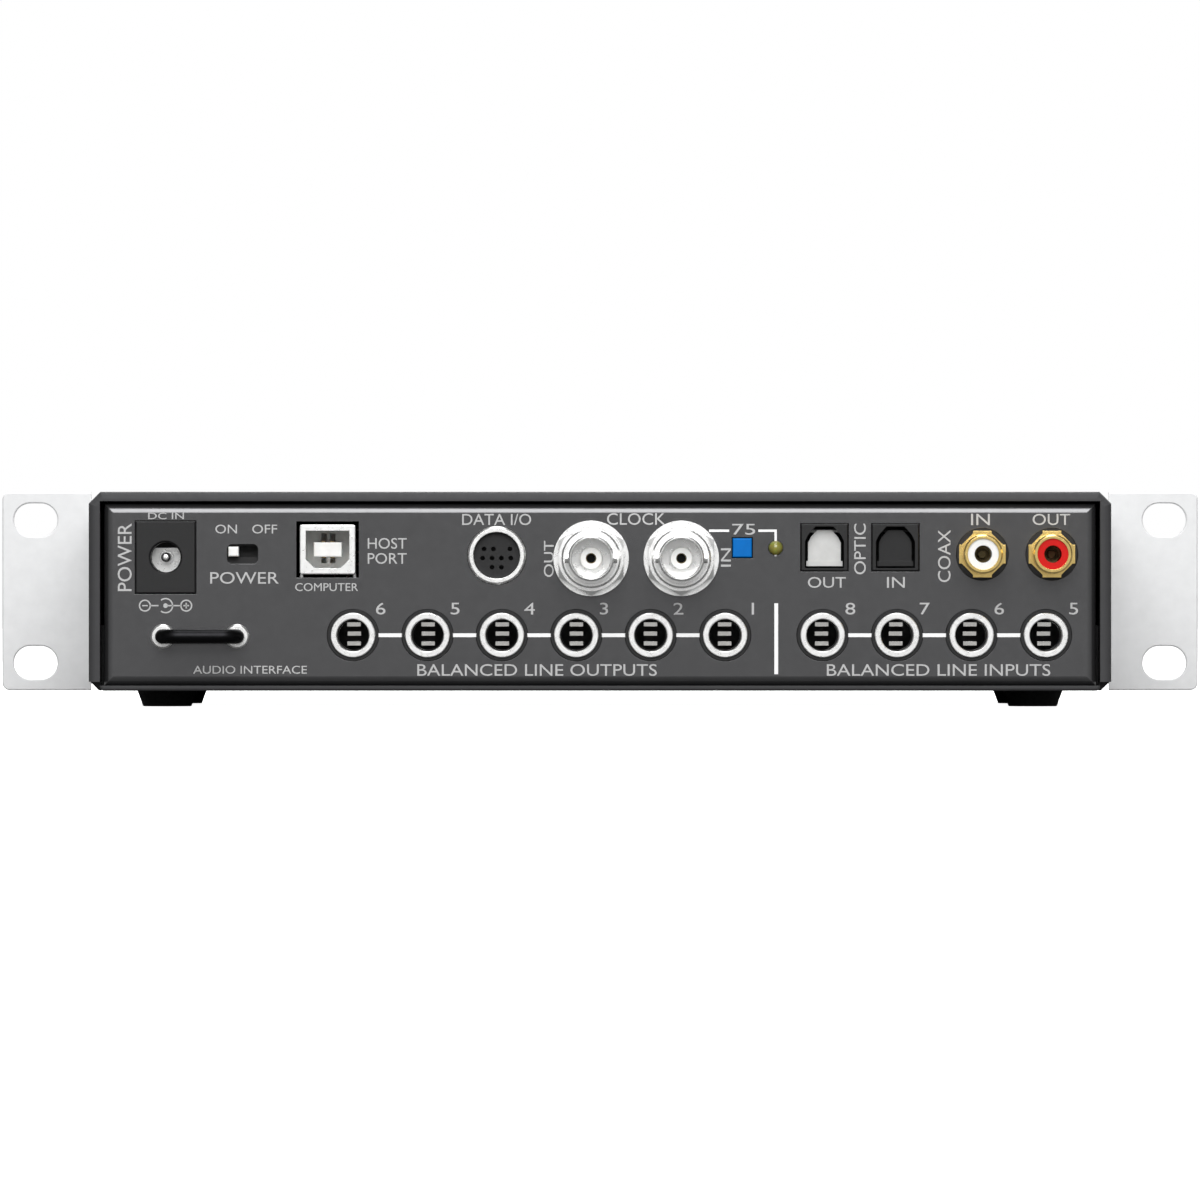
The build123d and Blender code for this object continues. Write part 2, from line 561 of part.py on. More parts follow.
DIN_FACE = Y_REAR + 0.5
DIN_FACE_R, DIN_RECESS, DIN_EDGE = 4.95, 1.8, 0.4
DIN_BASE, DIN_SKIRT, DIN_DEPTH = 14.0, 3.0, 13.0
DIN_PIN_R, DIN_PIN_DEPTH = 0.5, 4.0
DIN_ROW_PITCH, DIN_COLUMN_PITCH = 1.95, 2.0


def usb_cavity(y0, y1):
    """Inside of the data port: a square with its two lower corners cut off."""
    half_w, half_h, cut = USB_INNER_W / 2, USB_INNER_H / 2, USB_CORNER_CUT
    right = [(half_w, USB_Z + half_h), (half_w, USB_Z - half_h + cut), (half_w - cut, USB_Z - half_h)]
    return prism_y(symmetric(USB_X, right), y0, y1)


def usb_port_shell():
    """Square metal shield with soldered legs, its mouth just proud of the panel."""
    edge_r = 0.5
    shell = centred(USB_X, USB_Z, USB_W, USB_H, USB_FACE - USB_DEPTH, USB_FACE)
    shell = fillet(shell.edges().filter_by(Axis.Y), edge_r)
    shell = fillet(edges_at_y(shell, USB_FACE), edge_r / 2)
    for side in (1, -1):
        x0, x1 = sorted((USB_X + side * (USB_W / 2 - USB_LEG_T), USB_X + side * USB_W / 2))
        shell += block(x0, x1, Y_PANEL - 11, Y_PANEL - 6, UPPER_BOARD_TOP, USB_Z)
    return shell - usb_cavity(USB_FACE - USB_DEPTH + 1, USB_FACE + 1)


def usb_port_insulator():
    """Back wall and contact tongue, with two slots above and two below the tongue."""
    y0 = USB_FACE - USB_DEPTH + 1
    tongue = centred(USB_X, USB_Z, USB_TONGUE_W, USB_TONGUE_H, y0, USB_TONGUE_BACK)
    body = usb_cavity(y0, y0 + USB_BACK_T) + fillet(edges_at_y(tongue, USB_TONGUE_BACK), 3 * GAP)
    for side, height in ((1, USB_UPPER_SLOT_H), (-1, USB_LOWER_SLOT_H)):
        z = USB_Z + side * (USB_TONGUE_H + height) / 2
        for dx in (-USB_BLADE_DX, USB_BLADE_DX):
            body -= centred(USB_X + dx, z, USB_SLOT_W, height, y0 + 1, y0 + USB_BACK_T + 1)
    return body


def usb_port_contacts():
    """Four blades along the tongue, two above and two below."""
    y0 = USB_FACE - USB_DEPTH + 2
    rise = (USB_TONGUE_H + USB_BLADE_T) / 2
    blades = [centred(USB_X + dx, USB_Z + dz, USB_BLADE_W, USB_BLADE_T, y0, USB_TONGUE_BACK - 2)
              for dx in (-USB_BLADE_DX, USB_BLADE_DX) for dz in (-rise, rise)]
    return solids_of(*blades)


def din_socket_shell():
    """Round bright collar of the multi-pin socket."""
    y0 = Y_PANEL_BACK - DIN_SKIRT
    profile = [(DIN_FACE_R, y0), (DIN_R, y0), (DIN_R, DIN_FACE - DIN_EDGE), (DIN_R - DIN_EDGE, DIN_FACE),
               (DIN_FACE_R + GAP, DIN_FACE), (DIN_FACE_R, DIN_FACE - GAP)]
    return turned(profile, DIN_X, DIN_Z)


def din_pin_places():
    """The nine contacts: two rows of four and three, and a lower pair, as offsets from the centre."""
    row, col = DIN_ROW_PITCH, DIN_COLUMN_PITCH
    upper = [(-1.35 * col, 0.7 * row), (-0.35 * col, 0.7 * row), (1.4 * col, 0.7 * row)]
    middle = [((k - 1.5) * col, -0.3 * row) for k in range(4)]
    lower = [(s * col / 2, -1.3 * row) for s in (-1, 1)]
    return upper + middle + lower


def din_socket_insert():
    """Dark pin carrier with nine holes, on its moulded base."""
    face = DIN_FACE - DIN_RECESS
    y0 = Y_PANEL_BACK - DIN_SKIRT
    body = rod_y(DIN_X, DIN_Z, y0, face, DIN_FACE_R)
    body += centred(DIN_X, UPPER_BOARD_TOP + DIN_BASE / 2, DIN_BASE, DIN_BASE, Y_PANEL_BACK - DIN_DEPTH, y0)
    for dx, dz in din_pin_places():
        body -= rod_y(DIN_X - dx, DIN_Z + dz, face - DIN_PIN_DEPTH, face + 1, DIN_PIN_R)
    return body


# ---------------------------------------------------------------- clock sockets
CLOCK_MOUTH = Y_REAR + PROTRUSION
CLOCK_BORE_R, CLOCK_BARREL_R, CLOCK_SHOULDER_R = 4.15, 4.85, 5.4
CLOCK_BORE_DEPTH, CLOCK_INSULATOR_R, CLOCK_SOCKET_DEPTH = 8.4, 2.4, 9.4
CLOCK_BASE, CLOCK_BASE_DEPTH = 13.6, 11.0
CLOCK_WASHER_R, CLOCK_WASHER_T = 8.03, 0.8
CLOCK_NUT_R, CLOCK_NUT_T, CLOCK_NUT_EDGE = 7.95, 2.4, 0.5
CLOCK_LIP, CLOCK_NECK = 0.9, 0.8
CLOCK_EDGE, CLOCK_BORE_EDGE = 0.35, 0.25
STUD_R, STUD_REACH, STUD_SETBACK = 1.0, 5.55, 3.0
CONTACT_R, CONTACT_BORE_R, CONTACT_SETBACK = 1.1, 0.92, 7.4
INSULATOR_SETBACK = 3.4


def clock_socket_shell(x):
    """Bayonet socket body: square base, threaded collar, barrel and two bayonet studs."""
    y1 = Y_PANEL_BACK
    half = CLOCK_BASE / 2
    base = block(x - half, x + half, y1 - CLOCK_BASE_DEPTH, y1, UPPER_BOARD_TOP, CLOCK_Z + half)
    lip = Y_PANEL + CLOCK_WASHER_T + CLOCK_NUT_T + CLOCK_LIP
    floor = CLOCK_MOUTH - CLOCK_BORE_DEPTH
    end = CLOCK_MOUTH - CLOCK_SOCKET_DEPTH
    neck = lip + CLOCK_NECK
    profile = [(0, y1), (CLOCK_THREAD_R, y1), (CLOCK_THREAD_R, lip - CLOCK_EDGE),
               (CLOCK_THREAD_R - CLOCK_EDGE, lip), (CLOCK_SHOULDER_R, lip), (CLOCK_SHOULDER_R, neck),
               (CLOCK_BARREL_R, neck), (CLOCK_BARREL_R, CLOCK_MOUTH - CLOCK_EDGE),
               (CLOCK_BARREL_R - CLOCK_EDGE, CLOCK_MOUTH),
               (CLOCK_BORE_R + CLOCK_BORE_EDGE, CLOCK_MOUTH), (CLOCK_BORE_R, CLOCK_MOUTH - CLOCK_BORE_EDGE),
               (CLOCK_BORE_R, floor), (CLOCK_INSULATOR_R, floor), (CLOCK_INSULATOR_R, end), (0, end)]
    shell = base + turned(profile, x, CLOCK_Z)
    stud_y = CLOCK_MOUTH - STUD_SETBACK
    root = CLOCK_BARREL_R - CLOCK_EDGE
    for s in (1, -1):
        shell += rod_x(stud_y, CLOCK_Z, x + s * root, x + s * STUD_REACH, STUD_R)
    return shell


def clock_socket_nut(x):
    """Washer, and a chamfered hexagon nut on the collar with one corner up."""
    y0 = Y_PANEL + CLOCK_WASHER_T
    y1 = y0 + CLOCK_NUT_T
    washer = tube_y(x, CLOCK_Z, Y_PANEL, y0, CLOCK_WASHER_R, CLOCK_THREAD_R)
    blank = Pos(x, y0, CLOCK_Z) * Rot(-90, 0, 0) * Rot(0, 0, 30) * extrude(
        RegularPolygon(CLOCK_NUT_R, 6), amount=CLOCK_NUT_T)
    inner = CLOCK_NUT_R - 2 * CLOCK_NUT_EDGE
    trim = turned([(0, y0), (CLOCK_NUT_R, y0), (CLOCK_NUT_R, y1 - CLOCK_NUT_EDGE), (inner, y1), (0, y1)],
                  x, CLOCK_Z)
    return washer, (blank & trim) - rod_y(x, CLOCK_Z, y0 - 1, y1 + 1, CLOCK_THREAD_R)


def clock_socket_dielectric(x):
    """Cream insulator round the centre contact's well."""
    y0, y1 = CLOCK_MOUTH - CLOCK_SOCKET_DEPTH, CLOCK_MOUTH - INSULATOR_SETBACK
    edge = 2 * GAP
    profile = [(CONTACT_R, y0), (CLOCK_INSULATOR_R, y0), (CLOCK_INSULATOR_R, y1 - edge),
               (CLOCK_INSULATOR_R - edge, y1), (CONTACT_R + GAP, y1), (CONTACT_R, y1 - GAP)]
    return turned(profile, x, CLOCK_Z)


def clock_socket_contact(x):
    """Hollow centre contact, deep in the insulator."""
    return tube_y(x, CLOCK_Z, CLOCK_MOUTH - CLOCK_SOCKET_DEPTH, CLOCK_MOUTH - CONTACT_SETBACK,
                  CONTACT_R, CONTACT_BORE_R)


# ---------------------------------------------------------------- termination button and lamp
BUTTON_TRAVEL, BUTTON_PROUD, BUTTON_EDGE_R = 1.0, 0.5, 0.35
BUTTON_WELL, BUTTON_HOUSING, BUTTON_DEPTH = 5.0, 6.8, 9.0
LED_FLANGE_R, LED_LEG_W, LED_LEG_PITCH, LED_LEG_L = 2.0, 0.5, 2.54, 3.5


def termination_switch_body():
    """Housing behind the panel that guides the termination button."""
    y1 = Y_PANEL_BACK
    half = BUTTON_HOUSING / 2
    well = BUTTON_SIDE + 2 * GAP
    body = block(TERM_X - half, TERM_X + half, y1 - BUTTON_DEPTH, y1, UPPER_BOARD_TOP, TERM_Z + half)
    return body - centred(TERM_X, TERM_Z, well, well, y1 - BUTTON_WELL, y1 + 1)


def termination_button():
    """Square latching push button."""
    y0, y1 = Y_PANEL_BACK - BUTTON_WELL + BUTTON_TRAVEL + 3 * GAP, Y_PANEL + BUTTON_PROUD
    button = centred(TERM_X, TERM_Z, BUTTON_SIDE, BUTTON_SIDE, y0, y1)
    return fillet(edges_at_y(button, y1), BUTTON_EDGE_R)


def termination_led():
    """Domed three-millimetre lamp with its flange behind the panel and two bent legs."""
    y1 = Y_PANEL_BACK
    end = y1 - LED_LEG_L
    lamp = rod_y(LED_X, TERM_Z, y1 - 1, y1, LED_FLANGE_R)
    lamp += rod_y(LED_X, TERM_Z, y1 - 1, Y_PANEL + GAP, LED_R)
    ball = Pos(LED_X, Y_PANEL + GAP, TERM_Z) * Sphere(LED_R)
    lamp += ball & centred(LED_X, TERM_Z, 3 * LED_R, 3 * LED_R, Y_PANEL, Y_PANEL + 2 * LED_R)
    half = LED_LEG_W / 2
    for x in (LED_X - LED_LEG_PITCH / 2, LED_X + LED_LEG_PITCH / 2):
        lamp += centred(x, TERM_Z, LED_LEG_W, LED_LEG_W, end, y1 - half)
        lamp += block(x - half, x + half, end, end + LED_LEG_W, UPPER_BOARD_TOP, TERM_Z)
    return lamp


# ---------------------------------------------------------------- optical sockets
OPTICAL_FACE = Y_REAR + 0.1
OPTICAL_WALL, OPTICAL_DEPTH, OPTICAL_BACK_T = 1.2, 16.0, 2.5
OPTICAL_SIDE_T, OPTICAL_ROOF_T, OPTICAL_EDGE = 0.6, 0.5, 0.25
PEDESTAL_W, PEDESTAL_D = 8.0, 8.0
MOUTH_TOP, MOUTH_H, MOUTH_W, MOUTH_CROWN, MOUTH_SHOULDER = 4.45, 8.9, 8.3, 3.8, 3.2
SHUTTER_TOP, SHUTTER_H, SHUTTER_W, SHUTTER_CROWN, SHUTTER_SHOULDER = 3.7, 7.7, 7.0, 3.1, 2.7
SHUTTER_T, SHUTTER_RECESS = 0.8, 2.2
SHUTTER_FOOT_W, SHUTTER_FOOT_H, SHUTTER_FOOT_RISE = 7.7, 1.1, 0.15
SHUTTER_FACE = OPTICAL_FACE - SHUTTER_RECESS
HINGE_Y = SHUTTER_FACE - 1.35
HINGE_Z = OPTICAL_Z + SHUTTER_TOP - 0.2
HINGE_R, HINGE_ROOM, HINGE_HALF_L = 0.35, 0.08, 4.7


def arch(x, top, h, w, crown, shoulder, y0, y1):
    """Optical outline: flat crown, two-step shoulders and straight sides."""
    knee = crown / 2 + 0.7 * (w - crown) / 2
    right = [(crown / 2, top), (knee, top - 0.55 * shoulder), (w / 2, top - shoulder), (w / 2, top - h)]
    return prism_y(symmetric(x, right), y0, y1)


def optical_body(x):
    """Moulded housing with an arched mouth and a square cavity for the shutter to swing in."""
    y0 = OPTICAL_FACE - OPTICAL_DEPTH
    cavity_y0, cavity_y1 = y0 + OPTICAL_BACK_T, OPTICAL_FACE - OPTICAL_WALL
    body = centred(x, OPTICAL_Z, OPTICAL_SIDE, OPTICAL_SIDE, y0, OPTICAL_FACE)
    body = chamfer(edges_at_y(body, OPTICAL_FACE), OPTICAL_EDGE)
    cavity = centred(x, OPTICAL_Z, OPTICAL_SIDE - 2 * OPTICAL_SIDE_T, OPTICAL_SIDE - 2 * OPTICAL_ROOF_T,
                     cavity_y0, cavity_y1)
    mouth = arch(x, OPTICAL_Z + MOUTH_TOP, MOUTH_H, MOUTH_W, MOUTH_CROWN, MOUTH_SHOULDER,
                 cavity_y1 - 1, OPTICAL_FACE + 1)
    pivot = rod_x(HINGE_Y, HINGE_Z, x - HINGE_HALF_L - GAP, x + HINGE_HALF_L + GAP, HINGE_R + HINGE_ROOM)
    pedestal = block(x - PEDESTAL_W / 2, x + PEDESTAL_W / 2, y0, y0 + PEDESTAL_D,
                     UPPER_BOARD_TOP, OPTICAL_Z - OPTICAL_SIDE / 2)
    return body - cavity - mouth - pivot + pedestal


def optical_shutter(x):
    """Spring shutter: arched plate, wider foot below, hinge pin along its upper edge."""
    y0, y1 = SHUTTER_FACE - SHUTTER_T, SHUTTER_FACE
    top = OPTICAL_Z + SHUTTER_TOP
    plate = arch(x, top, SHUTTER_H, SHUTTER_W, SHUTTER_CROWN, SHUTTER_SHOULDER, y0, y1)
    plate += centred(x, top - SHUTTER_H + SHUTTER_FOOT_H / 2, SHUTTER_FOOT_W, SHUTTER_FOOT_H,
                     y0, y1 + SHUTTER_FOOT_RISE)
    half = SHUTTER_CROWN / 2
    plate += block(x - half, x + half, HINGE_Y, y0 + SHUTTER_T / 2, top - 1, top - GAP)
    return plate + rod_x(HINGE_Y, HINGE_Z, x - HINGE_HALF_L, x + HINGE_HALF_L, HINGE_R)


# ---------------------------------------------------------------- coaxial sockets
COAX_R, COAX_INNER_R, COAX_NECK_R = 4.15, 3.3, 4.0
COAX_MOUTH = Y_PANEL + 9.0
COAX_ROOT = Y_PANEL_BACK - 4.0             # where barrel, insulator and contact begin
COAX_SEAT = Y_PANEL + 0.15                 # outer face of the moulded boss
COAX_BODY_W, COAX_BODY_H, COAX_BODY_D = 12.0, 14.4, 9.0
COAX_FLANGE_R, COAX_FLANGE_T = 4.9, 0.7
TAB_HALF_W, TAB_REACH = 2.0, 4.95
COAX_EDGE = 0.3
COAX_CONTACT_R, COAX_CONTACT_L, COAX_CONTACT_WALL = 1.85, 4.5, 0.4
COAX_CONTACT_FLOOR, COAX_TIP_R, COAX_TIP_L = 2.0, 0.95, 1.6


def coax_socket_body(x):
    """Black moulded base whose round boss fills the panel hole."""
    y1 = Y_PANEL_BACK
    body = centred(x, UPPER_BOARD_TOP + COAX_BODY_H / 2, COAX_BODY_W, COAX_BODY_H, y1 - COAX_BODY_D, y1)
    body += rod_y(x, COAX_Z, y1, COAX_SEAT, COAX_BOSS_R)
    return body - rod_y(x, COAX_Z, COAX_ROOT, COAX_SEAT + 1, COAX_NECK_R)


def coax_socket_shell(x):
    """Plated shell: barrel with an open mouth and an eight-sided base flange with four tabs."""
    shell = turned([(COAX_INNER_R, COAX_ROOT), (COAX_NECK_R, COAX_ROOT), (COAX_NECK_R, COAX_SEAT),
                    (COAX_R, COAX_SEAT), (COAX_R, COAX_MOUTH - COAX_EDGE), (COAX_R - COAX_EDGE, COAX_MOUTH),
                    (COAX_INNER_R, COAX_MOUTH)], x, COAX_Z)
    end = COAX_SEAT + COAX_FLANGE_T
    flange = Pos(x, COAX_SEAT, COAX_Z) * Rot(-90, 0, 0) * Rot(0, 0, 22.5) * extrude(
        RegularPolygon(COAX_FLANGE_R, 8), amount=COAX_FLANGE_T)
    for k in range(4):
        tab = block(-TAB_HALF_W, TAB_HALF_W, COAX_SEAT, end, COAX_NECK_R, TAB_REACH)
        flange += Pos(x, 0, COAX_Z) * Rot(0, 90 * k, 0) * tab
    return shell + (flange - rod_y(x, COAX_Z, COAX_SEAT - 1, end + 1, COAX_R))


def coax_insulator(x):
    """Coloured ring that centres the contact in the barrel."""
    return tube_y(x, COAX_Z, COAX_ROOT, COAX_MOUTH - COAX_EDGE, COAX_INNER_R, COAX_CONTACT_R)


def coax_centre_contact(x):
    """Brass spring contact at the bottom of the ring, with a raised centre."""
    y0, end, floor = COAX_ROOT, COAX_ROOT + COAX_CONTACT_L, COAX_ROOT + COAX_CONTACT_FLOOR
    inner = COAX_CONTACT_R - COAX_CONTACT_WALL
    return turned([(0, y0), (COAX_CONTACT_R, y0), (COAX_CONTACT_R, end), (inner, end), (inner, floor),
                   (COAX_TIP_R, floor), (COAX_TIP_R - GAP, floor + COAX_TIP_L), (0, floor + COAX_TIP_L)],
                  x, COAX_Z)


# ---------------------------------------------------------------- quarter-inch jacks
COLLAR_PROUD, RING_PROUD = 0.25, 0.9
RING_EDGE = 0.15
LEAVES = ((2.3, 12.0), (-1.8, 13.5), (0.3, 17.0))    # height over the bore's axis, depth of the free end


def panel_planes(side):
    """Inner and outer face of the rear panel (side +1) or of the front panel (side -1)."""
    return (Y_PANEL_BACK, Y_PANEL) if side > 0 else (Y_INSIDE, Y_FRONT)


def jack_body(x, z, side):
    """Moulded jack housing: collar through the panel, bushing seat, guide bore, contact cavity."""
    inside, panel = panel_planes(side)
    y0, y1 = sorted((inside - side * JACK_BODY_D, inside))
    body = block(x - JACK_BODY_W / 2, x + JACK_BODY_W / 2, y0, y1, LOWER_BOARD_TOP, z + JACK_HEAD_ROOM)
    body += rod_y(x, z, inside, panel + side * COLLAR_PROUD, JACK_COLLAR_R)
    body -= rod_y(x, z, inside - side * SEAT_DEPTH, panel + side * 2, JACK_RING_R)
    body -= rod_y(x, z, inside - side * GUIDE_DEPTH, inside - side * SEAT_DEPTH, JACK_BORE_R)
    return body - rod_y(x, z, inside - side * CAVITY_DEPTH, inside - side * GUIDE_DEPTH, JACK_CAVITY_R)


def jack_bushing(x, z, side):
    """Bright bushing with a chamfered mouth."""
    inside, panel = panel_planes(side)
    y0, y1 = inside - side * SEAT_DEPTH, panel + side * RING_PROUD
    y2 = y1 - side * RING_EDGE
    mouth = JACK_MOUTH_R if side > 0 else FRONT_MOUTH_R
    return turned([(mouth, y0), (JACK_RING_R, y0), (JACK_RING_R, y2), (JACK_RING_R - RING_EDGE, y1),
                   (mouth + RING_EDGE, y1), (mouth, y2)], x, z)


def jack_contacts(x, z, side):
    """Three leaf contacts fixed in the end of the cavity: sleeve, ring and tip leaves."""
    inside = panel_planes(side)[0]
    leaves = []
    for height, depth in LEAVES:
        y0, y1 = sorted((inside - side * CAVITY_DEPTH, inside - side * depth))
        leaves.append(centred(x, z + height, LEAF_W, LEAF_T, y0, y1))
    return leaves


def jack_places():
    """Every quarter-inch jack as (x, z, side)."""
    return [(x, JACK_Z, 1) for x in LINE_OUT_XS + LINE_IN_XS] + [(x, Z_MID, -1) for x in FRONT_JACK_XS]


# ---------------------------------------------------------------- cable anchor
BAIL_STANDOFF, BAIL_ROOT, BAIL_BEND_R = 7.3, 2.0, 3.4
FERRULE_FLANGE_R, FERRULE_PROUD, FERRULE_TAIL = 2.6, 0.7, 0.6


def strain_relief_bail():
    """Round-bar loop that a power lead is tied to."""
    y_in, y_bar = Y_PANEL_BACK - BAIL_ROOT, Y_PANEL + BAIL_STANDOFF
    left, right = BAIL_X - BAIL_SPAN / 2, BAIL_X + BAIL_SPAN / 2
    path = FilletPolyline((left, y_in, BAIL_Z), (left, y_bar, BAIL_Z), (right, y_bar, BAIL_Z),
                          (right, y_in, BAIL_Z), radius=BAIL_BEND_R)
    ring = Plane((left, y_in, BAIL_Z), z_dir=(0, 1, 0)) * Circle(BAIL_ROD_R)
    return sweep(ring, path=path)


def strain_relief_ferrules():
    """Bright ferrule round each foot of the loop, with a flange on the panel."""
    y0, y1, y2 = Y_PANEL_BACK - FERRULE_TAIL, Y_PANEL, Y_PANEL + FERRULE_PROUD
    edge = FERRULE_PROUD / 2
    profile = [(BAIL_ROD_R, y0), (FERRULE_R, y0), (FERRULE_R, y1), (FERRULE_FLANGE_R, y1),
               (FERRULE_FLANGE_R, y2 - edge), (FERRULE_FLANGE_R - edge, y2), (BAIL_ROD_R, y2)]
    return solids_of(*[turned(profile, BAIL_X + s * BAIL_SPAN / 2, BAIL_Z) for s in (1, -1)])


# ---------------------------------------------------------------- microphone sockets
MIC_FACE = Y_FRONT - 0.6
MIC_BODY_W, MIC_BODY_H, MIC_BODY_D, MIC_EDGE_R = 26.0, 25.0, 24.0, 0.5
MIC_DROP = 1.0                             # plug axis below the socket's centre
MIC_GROOVE_R, MIC_CORE_R, MIC_CORE_SETBACK = 9.6, 7.6, 2.2
MIC_SEAT_Y = Y_INSIDE + 20.0               # bottom of the plug's ring groove
MIC_CORE_FOOT = 3.0
MIC_PIN_R, MIC_PIN_CIRCLE_R, MIC_PIN_END = 1.3, 5.4, 6.0
LATCH_Z, LATCH_W, LATCH_H, LATCH_TRAVEL = Z_MID + 10.1, 7.0, 2.0, 1.5
LATCH_PROUD, LATCH_WELL, LATCH_EDGE_R = 0.9, 8.0, 0.4


def mic_socket_housing(x):
    """Round-faced combination socket housing with the plug's ring groove and a latch window."""
    face = rod_y(x, Z_MID, MIC_FACE, Y_INSIDE, MIC_R)
    face = fillet([e for e in circles(face) if e.center().Y < Y_FRONT], MIC_EDGE_R)
    body = face + centred(x, Z_MID, MIC_BODY_W, MIC_BODY_H, Y_INSIDE, Y_INSIDE + MIC_BODY_D)
    body -= rod_y(x, Z_MID - MIC_DROP, MIC_FACE - 1, MIC_SEAT_Y, MIC_GROOVE_R)
    w, h = LATCH_W + 2 * GAP, LATCH_H + 2 * GAP
    return body - centred(x, LATCH_Z, w, h, MIC_FACE - 1, Y_INSIDE + LATCH_WELL)


def mic_socket_insert(x):
    """Insert with the quarter-inch bore in the middle and three pin holes round it."""
    z = Z_MID - MIC_DROP
    y0, y1 = MIC_FACE + MIC_CORE_SETBACK, MIC_SEAT_Y
    body = rod_y(x, z, y0, y1, MIC_CORE_R) + rod_y(x, z, y1 - MIC_CORE_FOOT, y1, MIC_GROOVE_R)
    body -= rod_y(x, z, y0 - 1, y1 - 2, JACK_BORE_R)
    for angle in (radians(90), radians(210), radians(330)):
        body -= rod_y(x + MIC_PIN_CIRCLE_R * cos(angle), z + MIC_PIN_CIRCLE_R * sin(angle),
                      y0 - 1, y1 - MIC_PIN_END, MIC_PIN_R)
    return body


def mic_socket_latch(x):
    """Release tab above the socket's mouth."""
    y0 = MIC_FACE - LATCH_PROUD
    tab = centred(x, LATCH_Z, LATCH_W, LATCH_H, y0, Y_INSIDE + LATCH_WELL - LATCH_TRAVEL - LATCH_EDGE_R)
    return fillet(edges_at_y(tab, y0), LATCH_EDGE_R)


# ---------------------------------------------------------------- dial and display
ENCODER_PUSH = 0.6
ENCODER_W, ENCODER_NECK_R, ENCODER_BORE_R = 12.0, 3.5, 2.8
ENCODER_NECK_L = 2.5                       # neck in front of the front panel's back face
ENCODER_END = -67.5                        # end of the bore in the housing
SLEEVE_R, SLEEVE_BORE_R = 2.72, 2.05
SHAFT_R, COLLAR_R, COLLAR_T = 2.0, 2.7, 0.55
KNOB_FACE = Y_FRONT - PROTRUSION
KNOB_BACK = Y_FRONT - 1.0
KNOB_R, KNOB_RIM_R, KNOB_DISH = 8.5, 7.4, 0.5
KNOB_SHAFT_END = Y_FRONT - 9.5
KNOB_HOLLOW_Y, KNOB_HOLLOW_R, KNOB_HUB_R = Y_FRONT - 4.0, 6.5, 3.4
FLUTES, FLUTE_R, FLUTE_OUT = 30, 0.55, 0.25
PANE_PROUD, PANE_DEPTH, PANE_EDGE_R = 0.2, 1.6, 0.25
DISPLAY_OFFSET, DISPLAY_W, DISPLAY_H, DISPLAY_SETBACK = 8.0, 18.0, 13.0, 3.0


def encoder_body():
    """Rotary encoder and push switch housing on the front board."""
    y0 = Y_INSIDE + 1
    body = centred(KNOB_X, Z_MID, ENCODER_W, ENCODER_W, y0, FRONT_BOARD_Y)
    body += rod_y(KNOB_X, Z_MID, Y_INSIDE - ENCODER_NECK_L, y0, ENCODER_NECK_R)
    return body - rod_y(KNOB_X, Z_MID, Y_INSIDE - 3, ENCODER_END, ENCODER_BORE_R)


def encoder_plunger():
    """Sleeve that slides in the housing when the dial is pressed."""
    y1 = ENCODER_END - ENCODER_PUSH - 3 * GAP
    return tube_y(KNOB_X, Z_MID, Y_INSIDE - 3, y1, SLEEVE_R, SLEEVE_BORE_R)


def encoder_shaft():
    """Shaft that turns in the sleeve and carries the dial."""
    y1 = Y_INSIDE - 3 - GAP / 2
    collar = rod_y(KNOB_X, Z_MID, y1 - COLLAR_T, y1, COLLAR_R)
    return rod_y(KNOB_X, Z_MID, KNOB_SHAFT_END, ENCODER_END - 1.4, SHAFT_R) + collar


def encoder_knob():
    """Turned dial with a fluted rim, a dished face and a hollow back round its hub."""
    edge = KNOB_DISH
    profile = [(0, KNOB_FACE + edge), (KNOB_RIM_R - 1.9, KNOB_FACE + edge / 2), (KNOB_RIM_R, KNOB_FACE),
               (KNOB_R - edge, KNOB_FACE + 0.3), (KNOB_R, KNOB_FACE + 0.9), (KNOB_R, KNOB_BACK - edge),
               (KNOB_R - edge, KNOB_BACK), (0, KNOB_BACK)]
    knob = turned(profile, KNOB_X, Z_MID)
    circle = KNOB_R + FLUTE_OUT
    for k in range(FLUTES):
        angle = 2 * pi * k / FLUTES
        knob -= rod_y(KNOB_X + circle * cos(angle), Z_MID + circle * sin(angle),
                      KNOB_FACE + 1.4, KNOB_BACK - 1.2, FLUTE_R)
    knob -= rod_y(KNOB_X, Z_MID, KNOB_SHAFT_END, KNOB_BACK + 1, SHAFT_R)
    knob -= rod_y(KNOB_X, Z_MID, KNOB_HOLLOW_Y, KNOB_BACK + 1, KNOB_HOLLOW_R)
    return knob + tube_y(KNOB_X, Z_MID, KNOB_HOLLOW_Y, Y_FRONT - 1.6, KNOB_HUB_R, SHAFT_R)


def display_window():
    """Tinted window let into the front panel."""
    pane = centred(WINDOW_X, Z_MID, WINDOW_W, WINDOW_H, Y_FRONT - PANE_PROUD, Y_FRONT + PANE_DEPTH)
    pane = fillet(pane.edges().filter_by(Axis.Y), WINDOW_CORNER_R)
    return fillet(edges_at_y(pane, Y_FRONT - PANE_PROUD), PANE_EDGE_R)


def display_module():
    """Two-digit display behind the window."""
    y0 = Y_FRONT + DISPLAY_SETBACK
    return centred(WINDOW_X + DISPLAY_OFFSET, Z_MID, DISPLAY_W, DISPLAY_H, y0, FRONT_BOARD_Y)


def status_leds():
    """Small lamps beside the dial."""
    y0 = Y_FRONT - PANE_EDGE_R
    return solids_of(*[rod_y(x, Z_MID + z, y0, FRONT_BOARD_Y, STATUS_R)
                       for x in STATUS_XS for z in STATUS_ZS])


# ---------------------------------------------------------------- assembly
def each(make, places):
    """Node of the same piece at every place."""
    return solids_of(*[make(place) for place in places])


